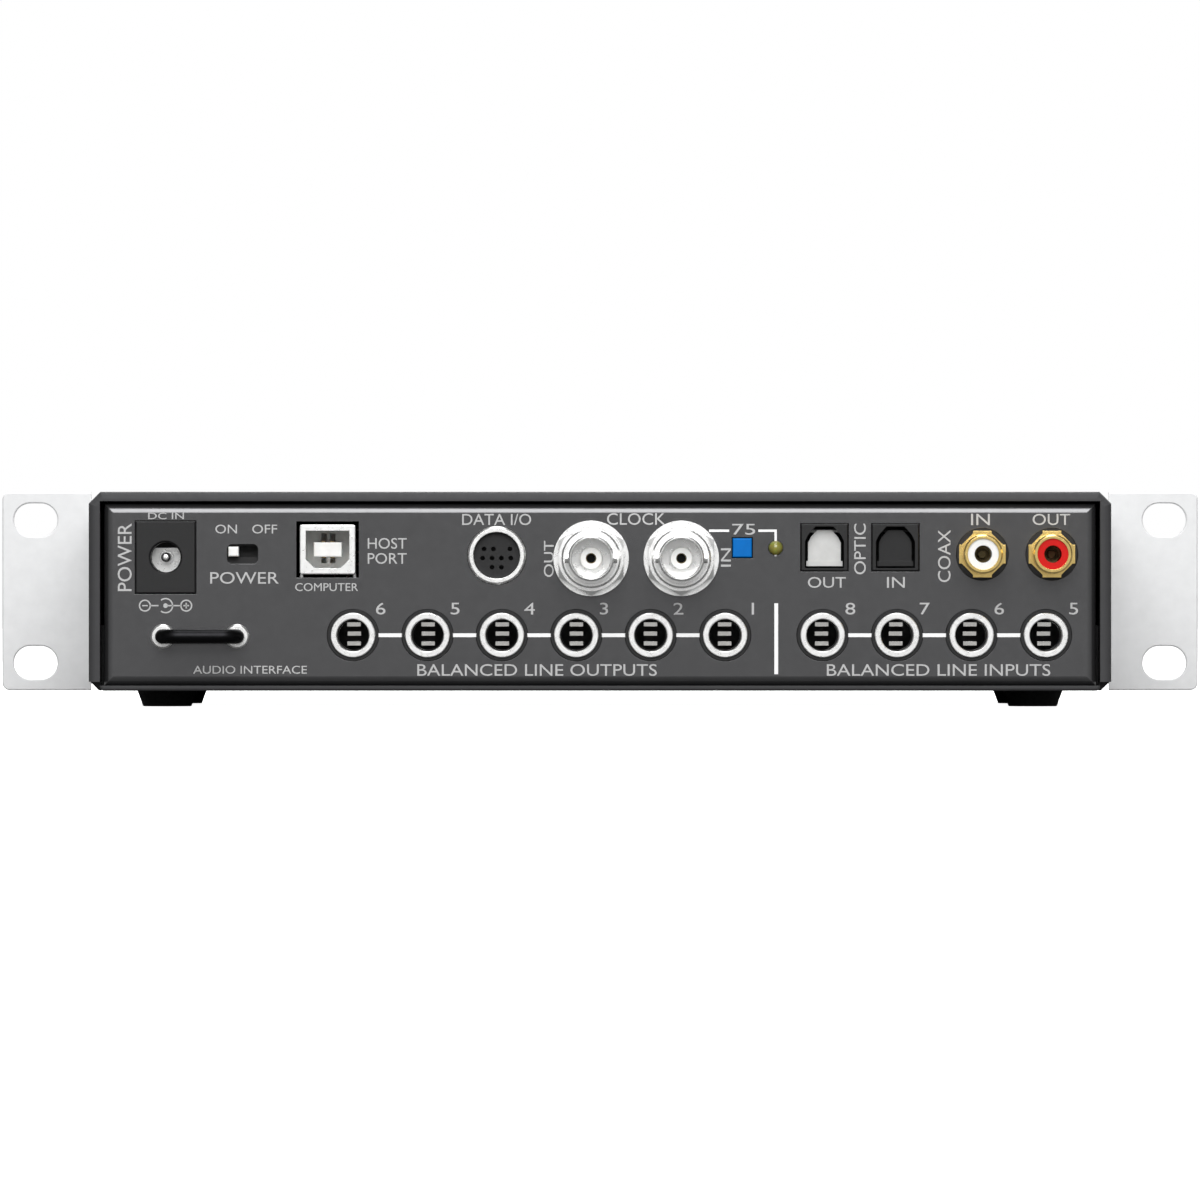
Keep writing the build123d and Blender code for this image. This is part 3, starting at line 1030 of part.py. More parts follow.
def parts():
    """Every node of the unit by name."""
    jacks = jack_places()
    return {
        "top_cover": top_cover(),
        "base_tray": base_tray(),
        "rear_panel": rear_panel(),
        "front_panel": front_panel(),
        "front_brackets": front_brackets(),
        "rack_ear_left": rack_ear(-1),
        "rack_ear_right": rack_ear(1),
        "side_screws": side_screws(),
        "rubber_feet": rubber_feet(),
        "foot_screws": foot_screws(),
        "analog_board": analog_board(),
        "digital_board": digital_board(),
        "front_board": front_board(),
        "board_standoffs": board_standoffs(),
        "board_screws": board_screws(),
        "board_chips": board_chips(),
        "power_supply_parts": power_supply_parts(),
        "board_links": board_links(),
        "dc_socket_body": dc_socket_body(),
        "dc_socket_contact": dc_socket_contact(),
        "dc_centre_pin": dc_centre_pin(),
        "power_switch_body": power_switch_body(),
        "power_switch_lever": power_switch_lever(),
        "usb_port_shell": usb_port_shell(),
        "usb_port_insulator": usb_port_insulator(),
        "usb_port_contacts": usb_port_contacts(),
        "din_socket_shell": din_socket_shell(),
        "din_socket_insert": din_socket_insert(),
        "clock_socket_shells": each(clock_socket_shell, CLOCK_XS),
        "clock_socket_nuts": solids_of(*[piece for x in CLOCK_XS for piece in clock_socket_nut(x)]),
        "clock_socket_dielectrics": each(clock_socket_dielectric, CLOCK_XS),
        "clock_socket_contacts": each(clock_socket_contact, CLOCK_XS),
        "termination_switch_body": termination_switch_body(),
        "termination_button": termination_button(),
        "termination_led": termination_led(),
        "optical_out_body": optical_body(OPTICAL_OUT_X),
        "optical_out_shutter": optical_shutter(OPTICAL_OUT_X),
        "optical_in_body": optical_body(OPTICAL_IN_X),
        "optical_in_shutter": optical_shutter(OPTICAL_IN_X),
        "coax_socket_bodies": each(coax_socket_body, COAX_XS),
        "coax_socket_shells": each(coax_socket_shell, COAX_XS),
        "coax_in_insulator": coax_insulator(COAX_XS[0]),
        "coax_out_insulator": coax_insulator(COAX_XS[1]),
        "coax_centre_contacts": each(coax_centre_contact, COAX_XS),
        "jack_bodies": solids_of(*[jack_body(*place) for place in jacks]),
        "jack_bushings": solids_of(*[jack_bushing(*place) for place in jacks]),
        "jack_contacts": solids_of(*[leaf for place in jacks for leaf in jack_contacts(*place)]),
        "strain_relief_bail": strain_relief_bail(),
        "strain_relief_ferrules": strain_relief_ferrules(),
        "mic_socket_housings": each(mic_socket_housing, MIC_XS),
        "mic_socket_inserts": each(mic_socket_insert, MIC_XS),
        "mic_socket_latch_1": mic_socket_latch(MIC_XS[0]),
        "mic_socket_latch_2": mic_socket_latch(MIC_XS[1]),
        "encoder_body": encoder_body(),
        "encoder_plunger": encoder_plunger(),
        "encoder_shaft": encoder_shaft(),
        "encoder_knob": encoder_knob(),
        "display_window": display_window(),
        "display_module": display_module(),
        "status_leds": status_leds(),
    }


os.makedirs("parts", exist_ok=True)
for node_name, shape in parts().items():
    export_step(solids_of(shape), f"parts/{node_name}.step")
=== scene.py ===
import json
from math import cos, pi, radians, sin

import bmesh
import bpy
from mathutils import Matrix, Vector


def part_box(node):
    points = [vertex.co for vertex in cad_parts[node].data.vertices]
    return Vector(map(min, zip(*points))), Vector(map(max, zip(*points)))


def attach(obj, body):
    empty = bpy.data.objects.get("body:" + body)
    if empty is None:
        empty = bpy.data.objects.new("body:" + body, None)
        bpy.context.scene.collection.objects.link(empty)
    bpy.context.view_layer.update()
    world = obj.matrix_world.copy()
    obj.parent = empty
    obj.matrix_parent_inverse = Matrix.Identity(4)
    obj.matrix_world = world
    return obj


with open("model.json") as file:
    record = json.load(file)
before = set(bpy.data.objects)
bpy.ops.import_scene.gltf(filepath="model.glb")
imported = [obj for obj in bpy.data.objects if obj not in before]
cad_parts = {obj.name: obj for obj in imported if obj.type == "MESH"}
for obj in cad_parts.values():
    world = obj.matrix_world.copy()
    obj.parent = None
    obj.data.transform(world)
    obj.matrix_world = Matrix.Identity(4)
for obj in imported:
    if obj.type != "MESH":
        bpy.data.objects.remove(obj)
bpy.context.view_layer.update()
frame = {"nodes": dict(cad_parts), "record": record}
nodes = frame["nodes"]
spots = {m["name"]: Vector(m["pos_m"]) for m in frame["record"]["mounts"]}

MM = 0.001
REAR_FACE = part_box("rear_panel")[1].y          # outer face of the connector panel
FRONT_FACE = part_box("front_panel")[0].y        # outer face of the front panel
MID_HEIGHT = (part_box("front_panel")[0].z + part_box("front_panel")[1].z) / 2
INK = 0.03 * MM                                # thickness of a printed mark
WELD = 1e-7                                    # points of one mark this near are the same
SEGMENT_T = 0.15 * MM                          # thickness of a bar of a digit
JACK_COLLAR = 5.4 * MM                         # where the lines between the jacks start and end
WIDE_FACE = 1.35                               # how far numbers are drawn out sideways


def middle(node):
    """Centre of a CAD node's box."""
    low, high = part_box(node)
    return (low + high) / 2


# ---------------------------------------------------------------- camera and light
def add_camera():
    """Long lens straight behind the unit at its mid height, as in the photograph."""
    distance, width_seen = 3.37, 0.2555
    camera = bpy.data.objects.new("camera", bpy.data.cameras.new("camera"))
    camera.data.sensor_width = 36.0
    camera.data.lens = camera.data.sensor_width * distance / width_seen
    camera.data.shift_y = -0.00725
    camera.data.clip_end = 40.0
    camera.location = (0, REAR_FACE + distance, MID_HEIGHT)
    camera.rotation_euler = (pi / 2, 0, pi)
    bpy.context.scene.collection.objects.link(camera)
    bpy.context.scene.camera = camera


def add_softbox(name, place, target, size, radiance):
    """Rectangular light of a given surface brightness, aimed at a point."""
    light = bpy.data.lights.new(name, "AREA")
    light.shape = "RECTANGLE"
    light.size, light.size_y = size
    light.energy = radiance * pi * size[0] * size[1]
    lamp = bpy.data.objects.new(name, light)
    lamp.location = place
    lamp.rotation_euler = (Vector(target) - Vector(place)).to_track_quat("-Z", "Y").to_euler()
    bpy.context.scene.collection.objects.link(lamp)


def add_surroundings():
    """White backdrop for the camera. Reflections see a tent that is paler in front and behind than beside."""
    world = bpy.data.worlds.new("tent")
    world.use_nodes = True
    net = Net(world.node_tree)
    direction = net.add("ShaderNodeSeparateXYZ")
    net.link(net.add("ShaderNodeTexCoord").outputs["Generated"], direction.inputs[0])
    depth = net.add("ShaderNodeMath", operation="ABSOLUTE")
    net.link(direction.outputs["Y"], depth.inputs[0])
    tent = net.remap(depth.outputs[0], 0.15, 0.62, 0.15, 0.80)
    strength = net.add("ShaderNodeMath", operation="MAXIMUM")
    net.link(tent, strength.inputs[0])
    net.link(net.add("ShaderNodeLightPath").outputs["Is Camera Ray"], strength.inputs[1])
    backdrop = world.node_tree.nodes["Background"]
    backdrop.inputs["Color"].default_value = (1, 1, 1, 1)
    net.link(strength.outputs[0], backdrop.inputs["Strength"])
    bpy.context.scene.world = world
    bpy.context.scene.view_settings.view_transform = "Standard"


def add_stage():
    """Tent, a pale floor and three softboxes."""
    add_surroundings()
    reach = 7.0
    mesh = bpy.data.meshes.new("floor")
    mesh.from_pydata([(-reach, -reach, 0), (reach, -reach, 0), (reach, reach, 0), (-reach, reach, 0)],
                     [], [(0, 1, 2, 3)])
    floor = bpy.data.objects.new("floor", mesh)
    bpy.context.scene.collection.objects.link(floor)
    pale = Shader("pale_floor", (0.90, 0.90, 0.90), 0.9)
    pale.vary_colour(0.30, 0.01)
    pale.set(Emission_Color=(1, 1, 1, 1))
    seen = pale.add("ShaderNodeLightPath").outputs["Is Camera Ray"]
    pale.link(seen, pale.surface.inputs["Emission Strength"])
    pale.link(pale.blend(seen, (0.14, 0.14, 0.14), pale.mixed), pale.surface.inputs["Base Color"])
    mesh.materials.append(pale.material)

    add_softbox("overhead", (0.0, 0.0, 1.3), (0, 0.0, 0.03), (0.6, 1.2), 4.0)
    add_softbox("rear_key", (0.0, 1.58, 1.03), (0, 0.08, 0.03), (1.5, 1.4), 5.5)
    add_softbox("front_key", (-0.4, -1.6, 0.9), (0, -0.08, 0.03), (1.5, 1.2), 4.5)


# ---------------------------------------------------------------- materials
class Net:
    """Shader nodes being wired together."""

    def __init__(self, tree):
        self.tree = tree

    def add(self, kind, **settings):
        node = self.tree.nodes.new(kind)
        for key, value in settings.items():
            if hasattr(node, key):
                setattr(node, key, value)
            else:
                node.inputs[key.replace("_", " ")].default_value = value
        return node

    def link(self, output, target):
        self.tree.links.new(output, target)

    def remap(self, value, low, high, start=0.3, end=0.7):
        """Value's stretch from start to end spread over low to high."""
        remap = self.add("ShaderNodeMapRange", From_Min=start, From_Max=end, To_Min=low, To_Max=high)
        self.link(value, remap.inputs["Value"])
        return remap.outputs["Result"]


class Shader(Net):
    """A procedural material being put together on one Principled BSDF."""

    def __init__(self, name, colour, roughness, metallic=0.0):
        self.material = bpy.data.materials.new(name)
        self.material.use_nodes = True
        self.material.diffuse_color = (*colour, 1)
        super().__init__(self.material.node_tree)
        self.surface = self.tree.nodes["Principled BSDF"]
        self.place = self.add("ShaderNodeTexCoord").outputs["Object"]
        self.colour = colour
        self.bump = None
        self.set(Base_Color=(*colour, 1), Roughness=roughness, Metallic=metallic)

    def set(self, **inputs):
        for key, value in inputs.items():
            self.surface.inputs[key.replace("_", " ")].default_value = value

    def noise(self, size, detail=3.0, stretch=(1, 1, 1)):
        """Noise between 0 and 1 with features of about size metres, drawn out along an axis by stretch."""
        place = self.place
        if stretch != (1, 1, 1):
            mapping = self.add("ShaderNodeMapping", Scale=tuple(1 / s for s in stretch))
            self.link(place, mapping.inputs["Vector"])
            place = mapping.outputs["Vector"]
        noise = self.add("ShaderNodeTexNoise", Scale=1 / size, Detail=detail, Roughness=0.55)
        self.link(place, noise.inputs["Vector"])
        return noise.outputs["Fac"]

    def blend(self, factor, first, second):
        """Colour mix. first is an RGB triple or an output."""
        mix = self.add("ShaderNodeMix", data_type="RGBA")
        self.link(factor, mix.inputs[0])
        for socket, colour in ((mix.inputs[6], first), (mix.inputs[7], second)):
            if isinstance(colour, tuple):
                socket.default_value = (*colour, 1)
            else:
                self.link(colour, socket)
        return mix.outputs[2]

    def vary_colour(self, size, amount, detail=4.0, stretch=(1, 1, 1)):
        """Cloudy lightness variation of the base colour."""
        dark = tuple(c * (1 - amount) for c in self.colour)
        light = tuple(min(1.0, c * (1 + amount)) for c in self.colour)
        mixed = self.blend(self.remap(self.noise(size, detail, stretch), 0, 1), dark, light)
        self.link(mixed, self.surface.inputs["Base Color"])
        self.mixed = mixed
        return self

    def vary_roughness(self, low, high, size, stretch=(1, 1, 1)):
        self.link(self.remap(self.noise(size, 5.0, stretch), low, high), self.surface.inputs["Roughness"])
        return self

    def emboss(self, size, height, detail=2.0, stretch=(1, 1, 1), pattern=None):
        """Surface relief of a real height in metres. Calls add up."""
        bump = self.add("ShaderNodeBump", Strength=1.0, Distance=height)
        self.link(pattern or self.noise(size, detail, stretch), bump.inputs["Height"])
        if self.bump:
            self.link(self.bump, bump.inputs["Normal"])
        self.bump = bump.outputs["Normal"]
        self.link(self.bump, self.surface.inputs["Normal"])
        return self

    def soften_edges(self, radius):
        """Rounds the shading of hard edges over a small radius."""
        bevel = self.add("ShaderNodeBevel", samples=4, Radius=radius)
        if self.bump:
            self.link(self.bump, bevel.inputs["Normal"])
        self.bump = bevel.outputs["Normal"]
        self.link(self.bump, self.surface.inputs["Normal"])
        return self

    def wear(self, colour, width, strength):
        """Polished or rubbed colour along the outer edges."""
        bevel = self.add("ShaderNodeBevel", samples=4, Radius=width)
        geometry = self.add("ShaderNodeNewGeometry")
        dot = self.add("ShaderNodeVectorMath", operation="DOT_PRODUCT")
        self.link(bevel.outputs["Normal"], dot.inputs[0])
        self.link(geometry.outputs["Normal"], dot.inputs[1])
        edge = self.remap(dot.outputs["Value"], strength, 0.0, 0.80, 0.97)
        patchy = self.add("ShaderNodeMath", operation="MULTIPLY")
        self.link(edge, patchy.inputs[0])
        self.link(self.remap(self.noise(1.5 * MM, 4.0), 0.3, 1.0), patchy.inputs[1])
        self.link(self.blend(patchy.outputs[0], self.mixed, colour), self.surface.inputs["Base Color"])
        return self


def powder_coat(name, colour, grain, relief, roughness, flake=0.0, gloss=0.5):
    """Baked paint with orange-peel relief, a share of metal flake and a slightly rubbed edge."""
    paint = Shader(name, colour, roughness, flake)
    paint.set(Specular_IOR_Level=gloss)
    spread = 0.06 - 0.05 * flake
    paint.vary_colour(3.0 * MM, 0.03).vary_roughness(roughness - spread, roughness + spread, 1.2 * MM)
    paint.wear(tuple(min(1.0, c * 1.35 + 0.02) for c in colour), 0.35 * MM, 0.35)
    return paint.emboss(grain, relief).emboss(grain * 4, relief * 1.2).soften_edges(0.15 * MM)


def moulded(name, colour, roughness=0.42, relief=2.5e-6, glow=0.0, dull=0.5):
    """Injection-moulded plastic with a spark-eroded tool texture and faint flow marks."""
    plastic = Shader(name, colour, roughness)
    plastic.set(Specular_IOR_Level=dull)
    plastic.vary_colour(2.0 * MM, 0.05).vary_roughness(roughness - 0.07, roughness + 0.09, 0.8 * MM)
    if glow:
        plastic.set(Subsurface_Weight=glow, Subsurface_Radius=(1, 0.8, 0.7), Subsurface_Scale=0.6 * MM)
    return plastic.emboss(0.12 * MM, relief).emboss(2.5 * MM, 3e-6, 1.0).soften_edges(0.1 * MM)


def plated(name, colour, low, high, turning=(1, 1, 1)):
    """Bright plate with hairline turning marks and finger-soft variation."""
    metal = Shader(name, colour, low, 1.0)
    metal.vary_colour(1.5 * MM, 0.03).vary_roughness(low, high, 0.9 * MM)
    return metal.emboss(0.06 * MM, 0.3e-6, 2.0, turning).emboss(1.2 * MM, 1.0e-6, 2.0).soften_edges(0.08 * MM)


def brushed(name, colour, low, high, along):
    """Metal brushed along one axis."""
    metal = Shader(name, colour, low, 1.0)
    metal.vary_colour(0.25 * MM, 0.05, 3.0, along).vary_roughness(low, high, 0.2 * MM, along)
    return metal.emboss(0.08 * MM, 1.2e-6, 3.0, along).soften_edges(0.12 * MM)


def circuit_board(name):
    """Green solder mask over copper tracks, with tinned pads."""
    board = Shader(name, (0.018, 0.085, 0.045), 0.32)
    board.vary_colour(6 * MM, 0.10)
    cells = board.add("ShaderNodeTexVoronoi", feature="DISTANCE_TO_EDGE", distance="MANHATTAN",
                      Scale=1 / (2.2 * MM))
    board.link(board.place, cells.inputs["Vector"])
    track = board.remap(cells.outputs["Distance"], 1.0, 0.0, 0.10, 0.14)
    dots = board.add("ShaderNodeTexVoronoi", Scale=1 / (2.54 * MM), Randomness=0.25)
    board.link(board.place, dots.inputs["Vector"])
    pad = board.remap(dots.outputs["Distance"], 1.0, 0.0, 0.16, 0.19)
    tracked = board.blend(track, board.mixed, (0.030, 0.150, 0.075))
    board.link(board.blend(pad, tracked, (0.62, 0.60, 0.55)), board.surface.inputs["Base Color"])
    board.link(pad, board.surface.inputs["Metallic"])
    return board.emboss(1 * MM, 30e-6, pattern=track)


def resin(name, colour, cloudy=0.25):
    """Tinted lamp resin, slightly diffusing."""
    lamp = Shader(name, colour, 0.12)
    lamp.vary_colour(0.8 * MM, 0.06)
    lamp.set(Transmission_Weight=0.35, IOR=1.5, Subsurface_Weight=cloudy, Subsurface_Scale=1.0 * MM,
             Coat_Weight=0.4)
    return lamp.vary_roughness(0.08, 0.18, 0.6 * MM).emboss(1.0 * MM, 2e-6)


def smoked_window(name):
    """Dark acrylic with a hard gloss and faint wipe marks."""
    pane = Shader(name, (0.012, 0.012, 0.014), 0.06)
    pane.vary_colour(4 * MM, 0.10)
    pane.set(Transmission_Weight=0.25, IOR=1.49, Coat_Weight=1.0, Coat_Roughness=0.03)
    return pane.vary_roughness(0.03, 0.10, 6 * MM, (6, 1, 1)).emboss(8 * MM, 4e-6, 1.0)


def foot_rubber(name):
    """Dull rubber with dust-grey speckle and a rough skin."""
    rubber = Shader(name, (0.018, 0.018, 0.018), 0.75)
    rubber.vary_colour(0.25 * MM, 0.35).vary_roughness(0.62, 0.88, 0.7 * MM)
    return rubber.emboss(0.18 * MM, 14e-6, 4.0).emboss(1.4 * MM, 20e-6).soften_edges(0.2 * MM)


def printing_ink(name, colour):
    """Screen-printed ink: thin, slightly uneven, semi-matte."""
    ink = Shader(name, colour, 0.5)
    return ink.vary_colour(0.15 * MM, 0.06).vary_roughness(0.4, 0.6, 0.3 * MM).emboss(0.1 * MM, 2e-6)


def wound_parts(name):
    """Lacquered capacitor sleeves and ferrite, lighter and darker in cloudy patches."""
    body = Shader(name, (0.030, 0.032, 0.040), 0.38)
    body.vary_colour(5 * MM, 0.25).vary_roughness(0.28, 0.50, 1.0 * MM)
    return body.emboss(0.3 * MM, 4e-6).soften_edges(0.3 * MM)


def all_materials():
    """Every finish by the record's slot name."""
    along_x = (12, 1, 1)
    return {
        "case_paint": powder_coat("case_paint", (0.050, 0.050, 0.052), 0.35 * MM, 6e-6, 0.55, gloss=0.15),
        "panel_paint": powder_coat("panel_paint", (0.118, 0.118, 0.121), 0.22 * MM, 3e-6, 0.21, 0.85),
        "ear_paint": powder_coat("ear_paint", (0.74, 0.745, 0.75), 0.25 * MM, 3e-6, 0.40),
        "front_alloy": brushed("front_alloy", (0.72, 0.73, 0.74), 0.28, 0.40, along_x),
        "plated_steel": plated("plated_steel", (0.55, 0.56, 0.58), 0.25, 0.42),
        "black_screws": plated("black_screws", (0.012, 0.012, 0.013), 0.28, 0.42),
        "foot_rubber": foot_rubber("foot_rubber"),
        "black_plastic": moulded("black_plastic", (0.006, 0.006, 0.0065), 0.42, dull=0.35),
        "grey_plastic": moulded("grey_plastic", (0.17, 0.17, 0.165)),
        "white_plastic": moulded("white_plastic", (0.80, 0.80, 0.78), 0.36, 1.5e-6, 0.25),
        "red_plastic": moulded("red_plastic", (0.55, 0.003, 0.001), 0.40, 1.5e-6, dull=0.2),
        "blue_plastic": moulded("blue_plastic", (0.001, 0.135, 0.46), 0.45, 1.5e-6, dull=0.1),
        "shutter_grey": moulded("shutter_grey", (0.58, 0.58, 0.57), 0.34, 1.5e-6, 0.15),
        "board": circuit_board("board"),
        "chip": moulded("chip", (0.014, 0.014, 0.015), 0.55, 4e-6),
        "component": wound_parts("component"),
        "nickel": plated("nickel", (0.95, 0.95, 0.94), 0.26, 0.32),
        "gilt": plated("gilt", (0.95, 0.70, 0.26), 0.14, 0.24),
        "contact_alloy": plated("contact_alloy", (0.86, 0.85, 0.82), 0.06, 0.14),
        # rough brass whose colour is darkened to paint the shade deep inside the socket contacts
        "dull_brass": plated("dull_brass", (0.26, 0.20, 0.10), 0.45, 0.60),
        "lamp_yellow": resin("lamp_yellow", (0.30, 0.29, 0.05)),
        "lamp_green": resin("lamp_green", (0.10, 0.30, 0.12)),
        "window_smoke": smoked_window("window_smoke"),
        "line_ink": printing_ink("line_ink", (0.86, 0.86, 0.86)),
        "word_ink": printing_ink("word_ink", (0.44, 0.44, 0.44)),
        "grey_ink": printing_ink("grey_ink", (0.10, 0.10, 0.10)),
    }


# ---------------------------------------------------------------- mesh helpers
def add_piece(name, mesh, body, finish):
    """Object from a mesh that rides on a CAD body and takes a finish."""
    mesh.materials.clear()
    mesh.materials.append(finishes[finish].material)
    piece = bpy.data.objects.new(name, mesh)
    bpy.context.scene.collection.objects.link(piece)
    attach(piece, body)
    return piece


def from_bmesh(name, shape, smooth_angle=radians(35)):
    """Mesh with smooth curved stretches and sharp edges above an angle."""
    bmesh.ops.recalc_face_normals(shape, faces=shape.faces)
    mesh = bpy.data.meshes.new(name)
    shape.to_mesh(mesh)
    shape.free()
    mesh.polygons.foreach_set("use_smooth", [True] * len(mesh.polygons))
    mesh.set_sharp_from_angle(angle=smooth_angle)
    return mesh


def facing(side):
    """Turns the XY plane into the rear panel's plane (side +1) or the front panel's (side -1)."""
    turn = Matrix.Rotation(pi / 2, 4, "X")
    return Matrix.Rotation(pi, 4, "Z") @ turn if side > 0 else turn


def lettering(text, side, x, z, width, height, turned=False):
    """Printed word as a mesh, fitted to a width and a capital height, centred on (x, z)."""
    curve = bpy.data.curves.new(text, "FONT")
    curve.body = text
    curve.resolution_u = 4
    holder = bpy.data.objects.new(text, curve)
    bpy.context.scene.collection.objects.link(holder)
    graph = bpy.context.evaluated_depsgraph_get()
    mesh = bpy.data.meshes.new_from_object(holder.evaluated_get(graph))
    bpy.data.objects.remove(holder)
    points = [v.co for v in mesh.vertices]
    low = Vector((min(p.x for p in points), min(p.y for p in points), 0))
    high = Vector((max(p.x for p in points), max(p.y for p in points), 0))
    centre, extent = (low + high) / 2, high - low
    tall = height / extent.y
    wide = width / extent.x if width else tall * WIDE_FACE
    fit = Matrix.Diagonal((wide, tall, 1, 1)) @ Matrix.Translation(-centre)
    turn = Matrix.Rotation(pi / 2 if turned else 0, 4, "Z")
    face = REAR_FACE if side > 0 else FRONT_FACE
    mesh.transform(Matrix.Translation((x, face, z)) @ facing(side) @ turn @ fit)
    shape = bmesh.new()
    shape.from_mesh(mesh)
    bpy.data.meshes.remove(mesh)
    return raised(shape, side)


def thickened(shape, depth):
    """Gives flat faces a thickness along Y, towards +Y where depth is positive."""
    grown = bmesh.ops.extrude_face_region(shape, geom=list(shape.faces))
    lifted = [v for v in grown["geom"] if isinstance(v, bmesh.types.BMVert)]
    bmesh.ops.translate(shape, verts=lifted, vec=(0, depth, 0))
    return shape


def raised(shape, side):
    """Gives flat print its ink thickness, outwards from the panel."""
    bmesh.ops.remove_doubles(shape, verts=shape.verts, dist=WELD)
    return thickened(shape, side * INK)


def stroke(points, width, side, closed=False):
    """Printed line of one width along (x, z) points, with mitred corners."""
    face = REAR_FACE if side > 0 else FRONT_FACE
    line = [Vector(p) for p in points]
    count = len(line)
    shape = bmesh.new()
    pairs = []
    for i, point in enumerate(line):
        before = line[i - 1] if closed or i else point
        after = line[(i + 1) % count] if closed or i < count - 1 else point
        inward = (point - before).normalized() if (point - before).length else (after - point).normalized()
        outward = (after - point).normalized() if (after - point).length else inward
        along = (inward + outward).normalized()
        across = Vector((-along.y, along.x)) * (width / 2 / max(0.3, along.dot(inward)))
        pairs.append([shape.verts.new((q.x, face, q.y)) for q in (point + across, point - across)])
    for i in range(count if closed else count - 1):
        a, b = pairs[i], pairs[(i + 1) % count]
        shape.faces.new((a[0], b[0], b[1], a[1]))
    return raised(shape, side)


def ring_points(x, z, radius, start=0.0, end=2 * pi, steps=40):
    """Points on an arc about (x, z), for a closed ring or an open arc."""
    full = abs(end - start) > 2 * pi - 1e-6
    points = []
    for k in range(steps if full else steps + 1):
        angle = start + (end - start) * k / steps
        points.append((x + radius * cos(angle), z + radius * sin(angle)))
    return points


def merge(name, shapes):
    """One mesh from several bmesh shapes."""
    whole = bmesh.new()
    for shape in shapes:
        part = bpy.data.meshes.new("part")
        shape.to_mesh(part)
        shape.free()
        whole.from_mesh(part)
        bpy.data.meshes.remove(part)
    return from_bmesh(name, whole)


# ---------------------------------------------------------------- rear print
def rear_words():
    """Words beside the connectors: text, anchor, offsets along X and Z, width, height (mm), turned."""
    return [
        ("POWER", "dc_inlet", 8.7, 0.0, 14.4, 3.0, True),
        ("DC IN", "dc_inlet", -0.1, 8.8, 7.6, 1.4, False),
        ("ON", "power_switch", 3.5, 4.8, 4.6, 1.9, False),
        ("OFF", "power_switch", -4.7, 4.8, 5.3, 1.9, False),
        ("POWER", "power_switch", -0.4, -5.6, 14.6, 2.5, False),
        ("HOST", "usb_port", -12.7, 1.3, 8.3, 2.3, False),
        ("PORT", "usb_port", -12.7, -1.9, 8.3, 2.3, False),
        ("COMPUTER", "usb_port", 0.2, -8.0, 13.4, 1.7, False),
        ("DATA I/O", "data_socket", 0.0, 7.65, 14.7, 2.4, False),
        ("CLOCK", "clock_1", -9.6, 8.4, 12.4, 2.5, False),
        ("OUT", "clock_1", 9.0, -0.1, 7.7, 2.1, True),
        ("IN", "clock_2", -9.5, 0.2, 3.9, 2.1, True),
        ("75", "clock_2", -13.3, 6.2, 4.9, 2.3, False),
        ("OPTIC", "optical_out", -7.55, -0.35, 10.8, 2.5, True),
        ("OUT", "optical_out", -0.5, -7.45, 8.1, 2.3, False),
        ("IN", "optical_in", -0.1, -7.45, 3.8, 2.3, False),
        ("COAX", "coax_in", 8.1, -0.4, 11.1, 2.7, True),
        ("IN", "coax_in", 0.4, 7.4, 4.0, 2.4, False),
        ("OUT", "coax_out", 0.1, 7.4, 8.0, 2.4, False),
        ("BALANCED LINE OUTPUTS", "line_out_4", -7.5, -7.4, 51.0, 2.5, False),
        ("BALANCED LINE INPUTS", "line_in_6", 7.0, -7.4, 47.6, 2.5, False),
        ("AUDIO INTERFACE", "cable_anchor", -10.7, -7.1, 24.2, 1.7, False),
    ]


def rear_print():
    """All the white words, numbers and lines on the connector panel."""
    spots["power_switch"] = Vector((middle("power_switch_body").x, 0, middle("power_switch_lever").z))
    shapes = []
    for text, anchor, dx, dz, width, height, turned in rear_words():
        at = spots[anchor]
        shapes.append(lettering(text, 1, at.x + dx * MM, at.z + dz * MM, width * MM, height * MM, turned))
    add_piece("rear_words", merge("rear_words", shapes), "chassis", "word_ink")

    jacks = sorted((n for n in spots if n.startswith("line_")), key=lambda n: -spots[n].x)
    shapes = [lettering(name[-1], 1, spots[name].x - 5.9 * MM, spots[name].z + 5.66 * MM, None, 2.5 * MM)
              for name in jacks]
    add_piece("rear_jack_numbers", merge("rear_jack_numbers", shapes), "chassis", "word_ink")

    thick = 0.8 * MM
    shapes = []
    for left, right in zip(jacks, jacks[1:]):
        if left[:7] == right[:7]:
            ends = [(spots[left].x - JACK_COLLAR, spots[left].z),
                    (spots[right].x + JACK_COLLAR, spots[right].z)]
            shapes.append(stroke(ends, thick, 1))
    divide = (spots["line_out_1"].x + spots["line_in_8"].x) / 2 - 0.5 * MM
    row = spots["line_out_1"].z
    shapes.append(stroke([(divide, row + 6.8 * MM), (divide, row - 8.3 * MM)], thick, 1))
    add_piece("rear_jack_lines", merge("rear_jack_lines", shapes), "chassis", "line_ink")

    at = spots["clock_2"]
    bar, thin = at.z + 5.9 * MM, 0.5 * MM
    lamp = middle("termination_led")
    shapes = [stroke([(at.x - 5.9 * MM, bar), (at.x - 10.2 * MM, bar)], thin, 1),
              stroke([(at.x - 16.4 * MM, bar), (lamp.x, bar), (lamp.x, lamp.z + 2.1 * MM)], thin, 1)]
    add_piece("rear_termination_lines", merge("rear_termination_lines", shapes), "chassis", "line_ink")
    add_piece("rear_polarity_mark", polarity_mark(), "chassis", "word_ink")


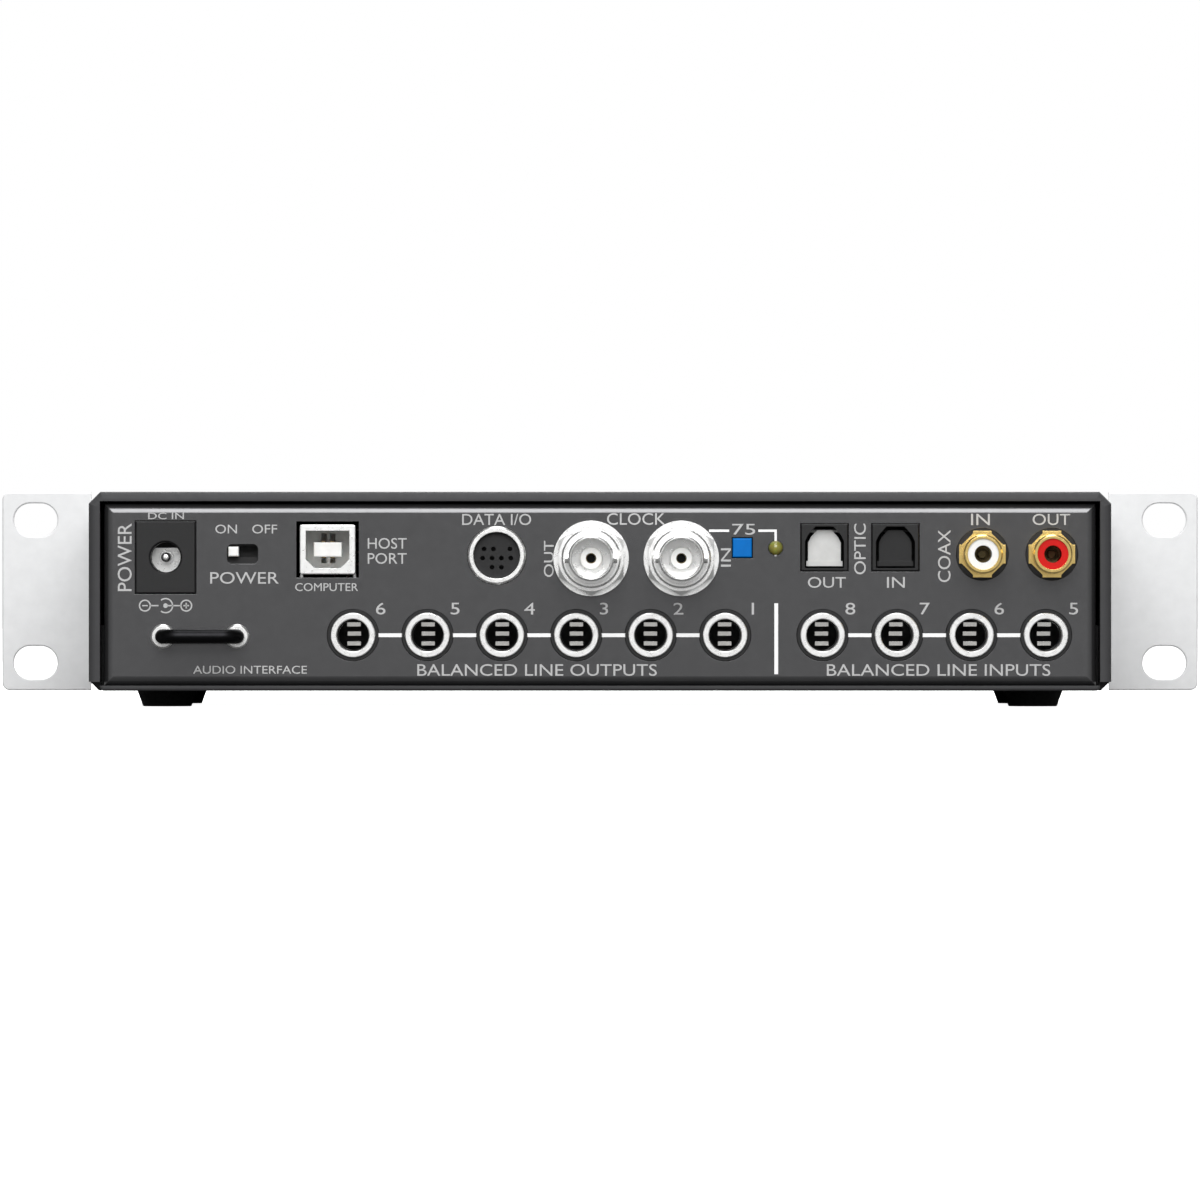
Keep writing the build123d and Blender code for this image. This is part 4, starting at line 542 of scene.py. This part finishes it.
def polarity_mark():
    """Centre-positive sign under the power inlet: minus, sleeve, pin, plus."""
    at = spots["dc_inlet"]
    x, z = at.x, at.z - 10.3 * MM
    gap, ring, line = 4.4 * MM, 1.15 * MM, 0.28 * MM
    shapes = [stroke(ring_points(x + s * gap, z, ring), line, 1, closed=True) for s in (1, -1)]
    shapes.append(stroke(ring_points(x, z, 1.5 * MM, radians(50), radians(310)), line, 1))
    shapes.append(stroke(ring_points(x, z, 0.25 * MM, steps=16), 0.5 * MM, 1, closed=True))
    shapes.append(stroke([(x + 1.5 * MM, z), (x + gap - ring, z)], line, 1))
    shapes.append(stroke([(x - 0.4 * MM, z), (x - gap + ring, z)], line, 1))
    half = 0.6 * MM
    for s in (1, -1):
        shapes.append(stroke([(x + s * gap - half, z), (x + s * gap + half, z)], line, 1))
    shapes.append(stroke([(x - gap, z - half), (x - gap, z + half)], line, 1))
    return merge("rear_polarity_mark", shapes)


# ---------------------------------------------------------------- front print and display
def front_print():
    """Words on the front panel: text, anchor, offset along Z and width (mm)."""
    words = [("MIC 1", "mic_in_1", -15.2, 9.0), ("MIC 2", "mic_in_2", -15.2, 9.0),
             ("LINE 3", "instrument_in_1", -10.5, 9.5), ("LINE 4", "instrument_in_2", -10.5, 9.5),
             ("PHONES", "headphone_out", -10.5, 11.5), ("LEVEL", "dial", -14.0, 9.5)]
    spots["dial"] = middle("encoder_knob")
    height = 2.1 * MM
    shapes = []
    for text, anchor, dz, width in words:
        at = spots[anchor]
        shapes.append(lettering(text, -1, at.x, at.z + dz * MM, width * MM, height))
    add_piece("front_words", merge("front_words", shapes), "chassis", "grey_ink")


def dial_mark():
    """Pointer let into the dial's dished face."""
    low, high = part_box("encoder_knob")
    centre = (low + high) / 2
    rim, depth = 5.5 * MM, 0.5 * MM
    shape = bmesh.new()
    corners = []
    for x, r in ((-0.4, 2.4), (0.4, 2.4), (0.4, 5.3), (-0.4, 5.3)):
        sunk = depth * (1 - r * MM / rim / 2)
        corners.append(shape.verts.new((centre.x + x * MM, low.y + sunk - INK, centre.z + r * MM)))
    shape.faces.new(corners)
    add_piece("dial_mark", from_bmesh("dial_mark", thickened(shape, 4 * INK)), "dial", "black_plastic")


def clock_shade_discs():
    """Black disc at the bottom of each clock socket's centre contact: painted shade deep in the hole."""
    deep_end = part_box("clock_socket_contacts")[0].y
    radius, thick = 0.9 * MM, 0.2 * MM
    shapes = []
    for at in (spots["clock_1"], spots["clock_2"]):
        shape = bmesh.new()
        rim = ring_points(at.x, at.z, radius)
        shape.faces.new([shape.verts.new((x, deep_end + thick, z)) for x, z in rim])
        shapes.append(thickened(shape, thick))
    add_piece("clock_shade_discs", merge("clock_shade_discs", shapes), "chassis", "black_plastic")


def segment(x, y, z, length, thick, upright):
    """One bar of a seven-segment digit, pointed at both ends."""
    half, side = length / 2, thick / 2
    outline = [(-half, 0), (-half + side, side), (half - side, side), (half, 0), (half - side, -side),
               (-half + side, -side)]
    shape = bmesh.new()
    corners = [(v, u) if upright else (u, v) for u, v in outline]
    shape.faces.new([shape.verts.new((x + u, y, z + v)) for u, v in corners])
    return thickened(shape, -SEGMENT_T)


def display_digits():
    """Two unlit seven-segment digits on the display behind the window."""
    low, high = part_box("display_module")
    centre = (low + high) / 2
    tall, wide, thick = 8.4 * MM, 4.6 * MM, 0.9 * MM
    shapes = []
    for x in (centre.x - 4.0 * MM, centre.x + 4.0 * MM):
        for level in (-1, 0, 1):
            shapes.append(segment(x, low.y, centre.z + level * tall / 2, wide - thick * 0.3, thick, False))
        for side in (1, -1):
            for level in (-1, 1):
                shapes.append(segment(x + side * wide / 2, low.y, centre.z + level * tall / 4,
                                      tall / 2 - thick * 0.3, thick, True))
    add_piece("display_digits", merge("display_digits", shapes), "chassis", "lamp_green")


# ---------------------------------------------------------------- making
finishes = all_materials()
for part in frame["record"]["subparts"]:
    nodes[part["node"]].data.materials.clear()
    nodes[part["node"]].data.materials.append(finishes[part["material_slot"]].material)

add_camera()
add_stage()
rear_print()
front_print()
dial_mark()
clock_shade_discs()
display_digits()
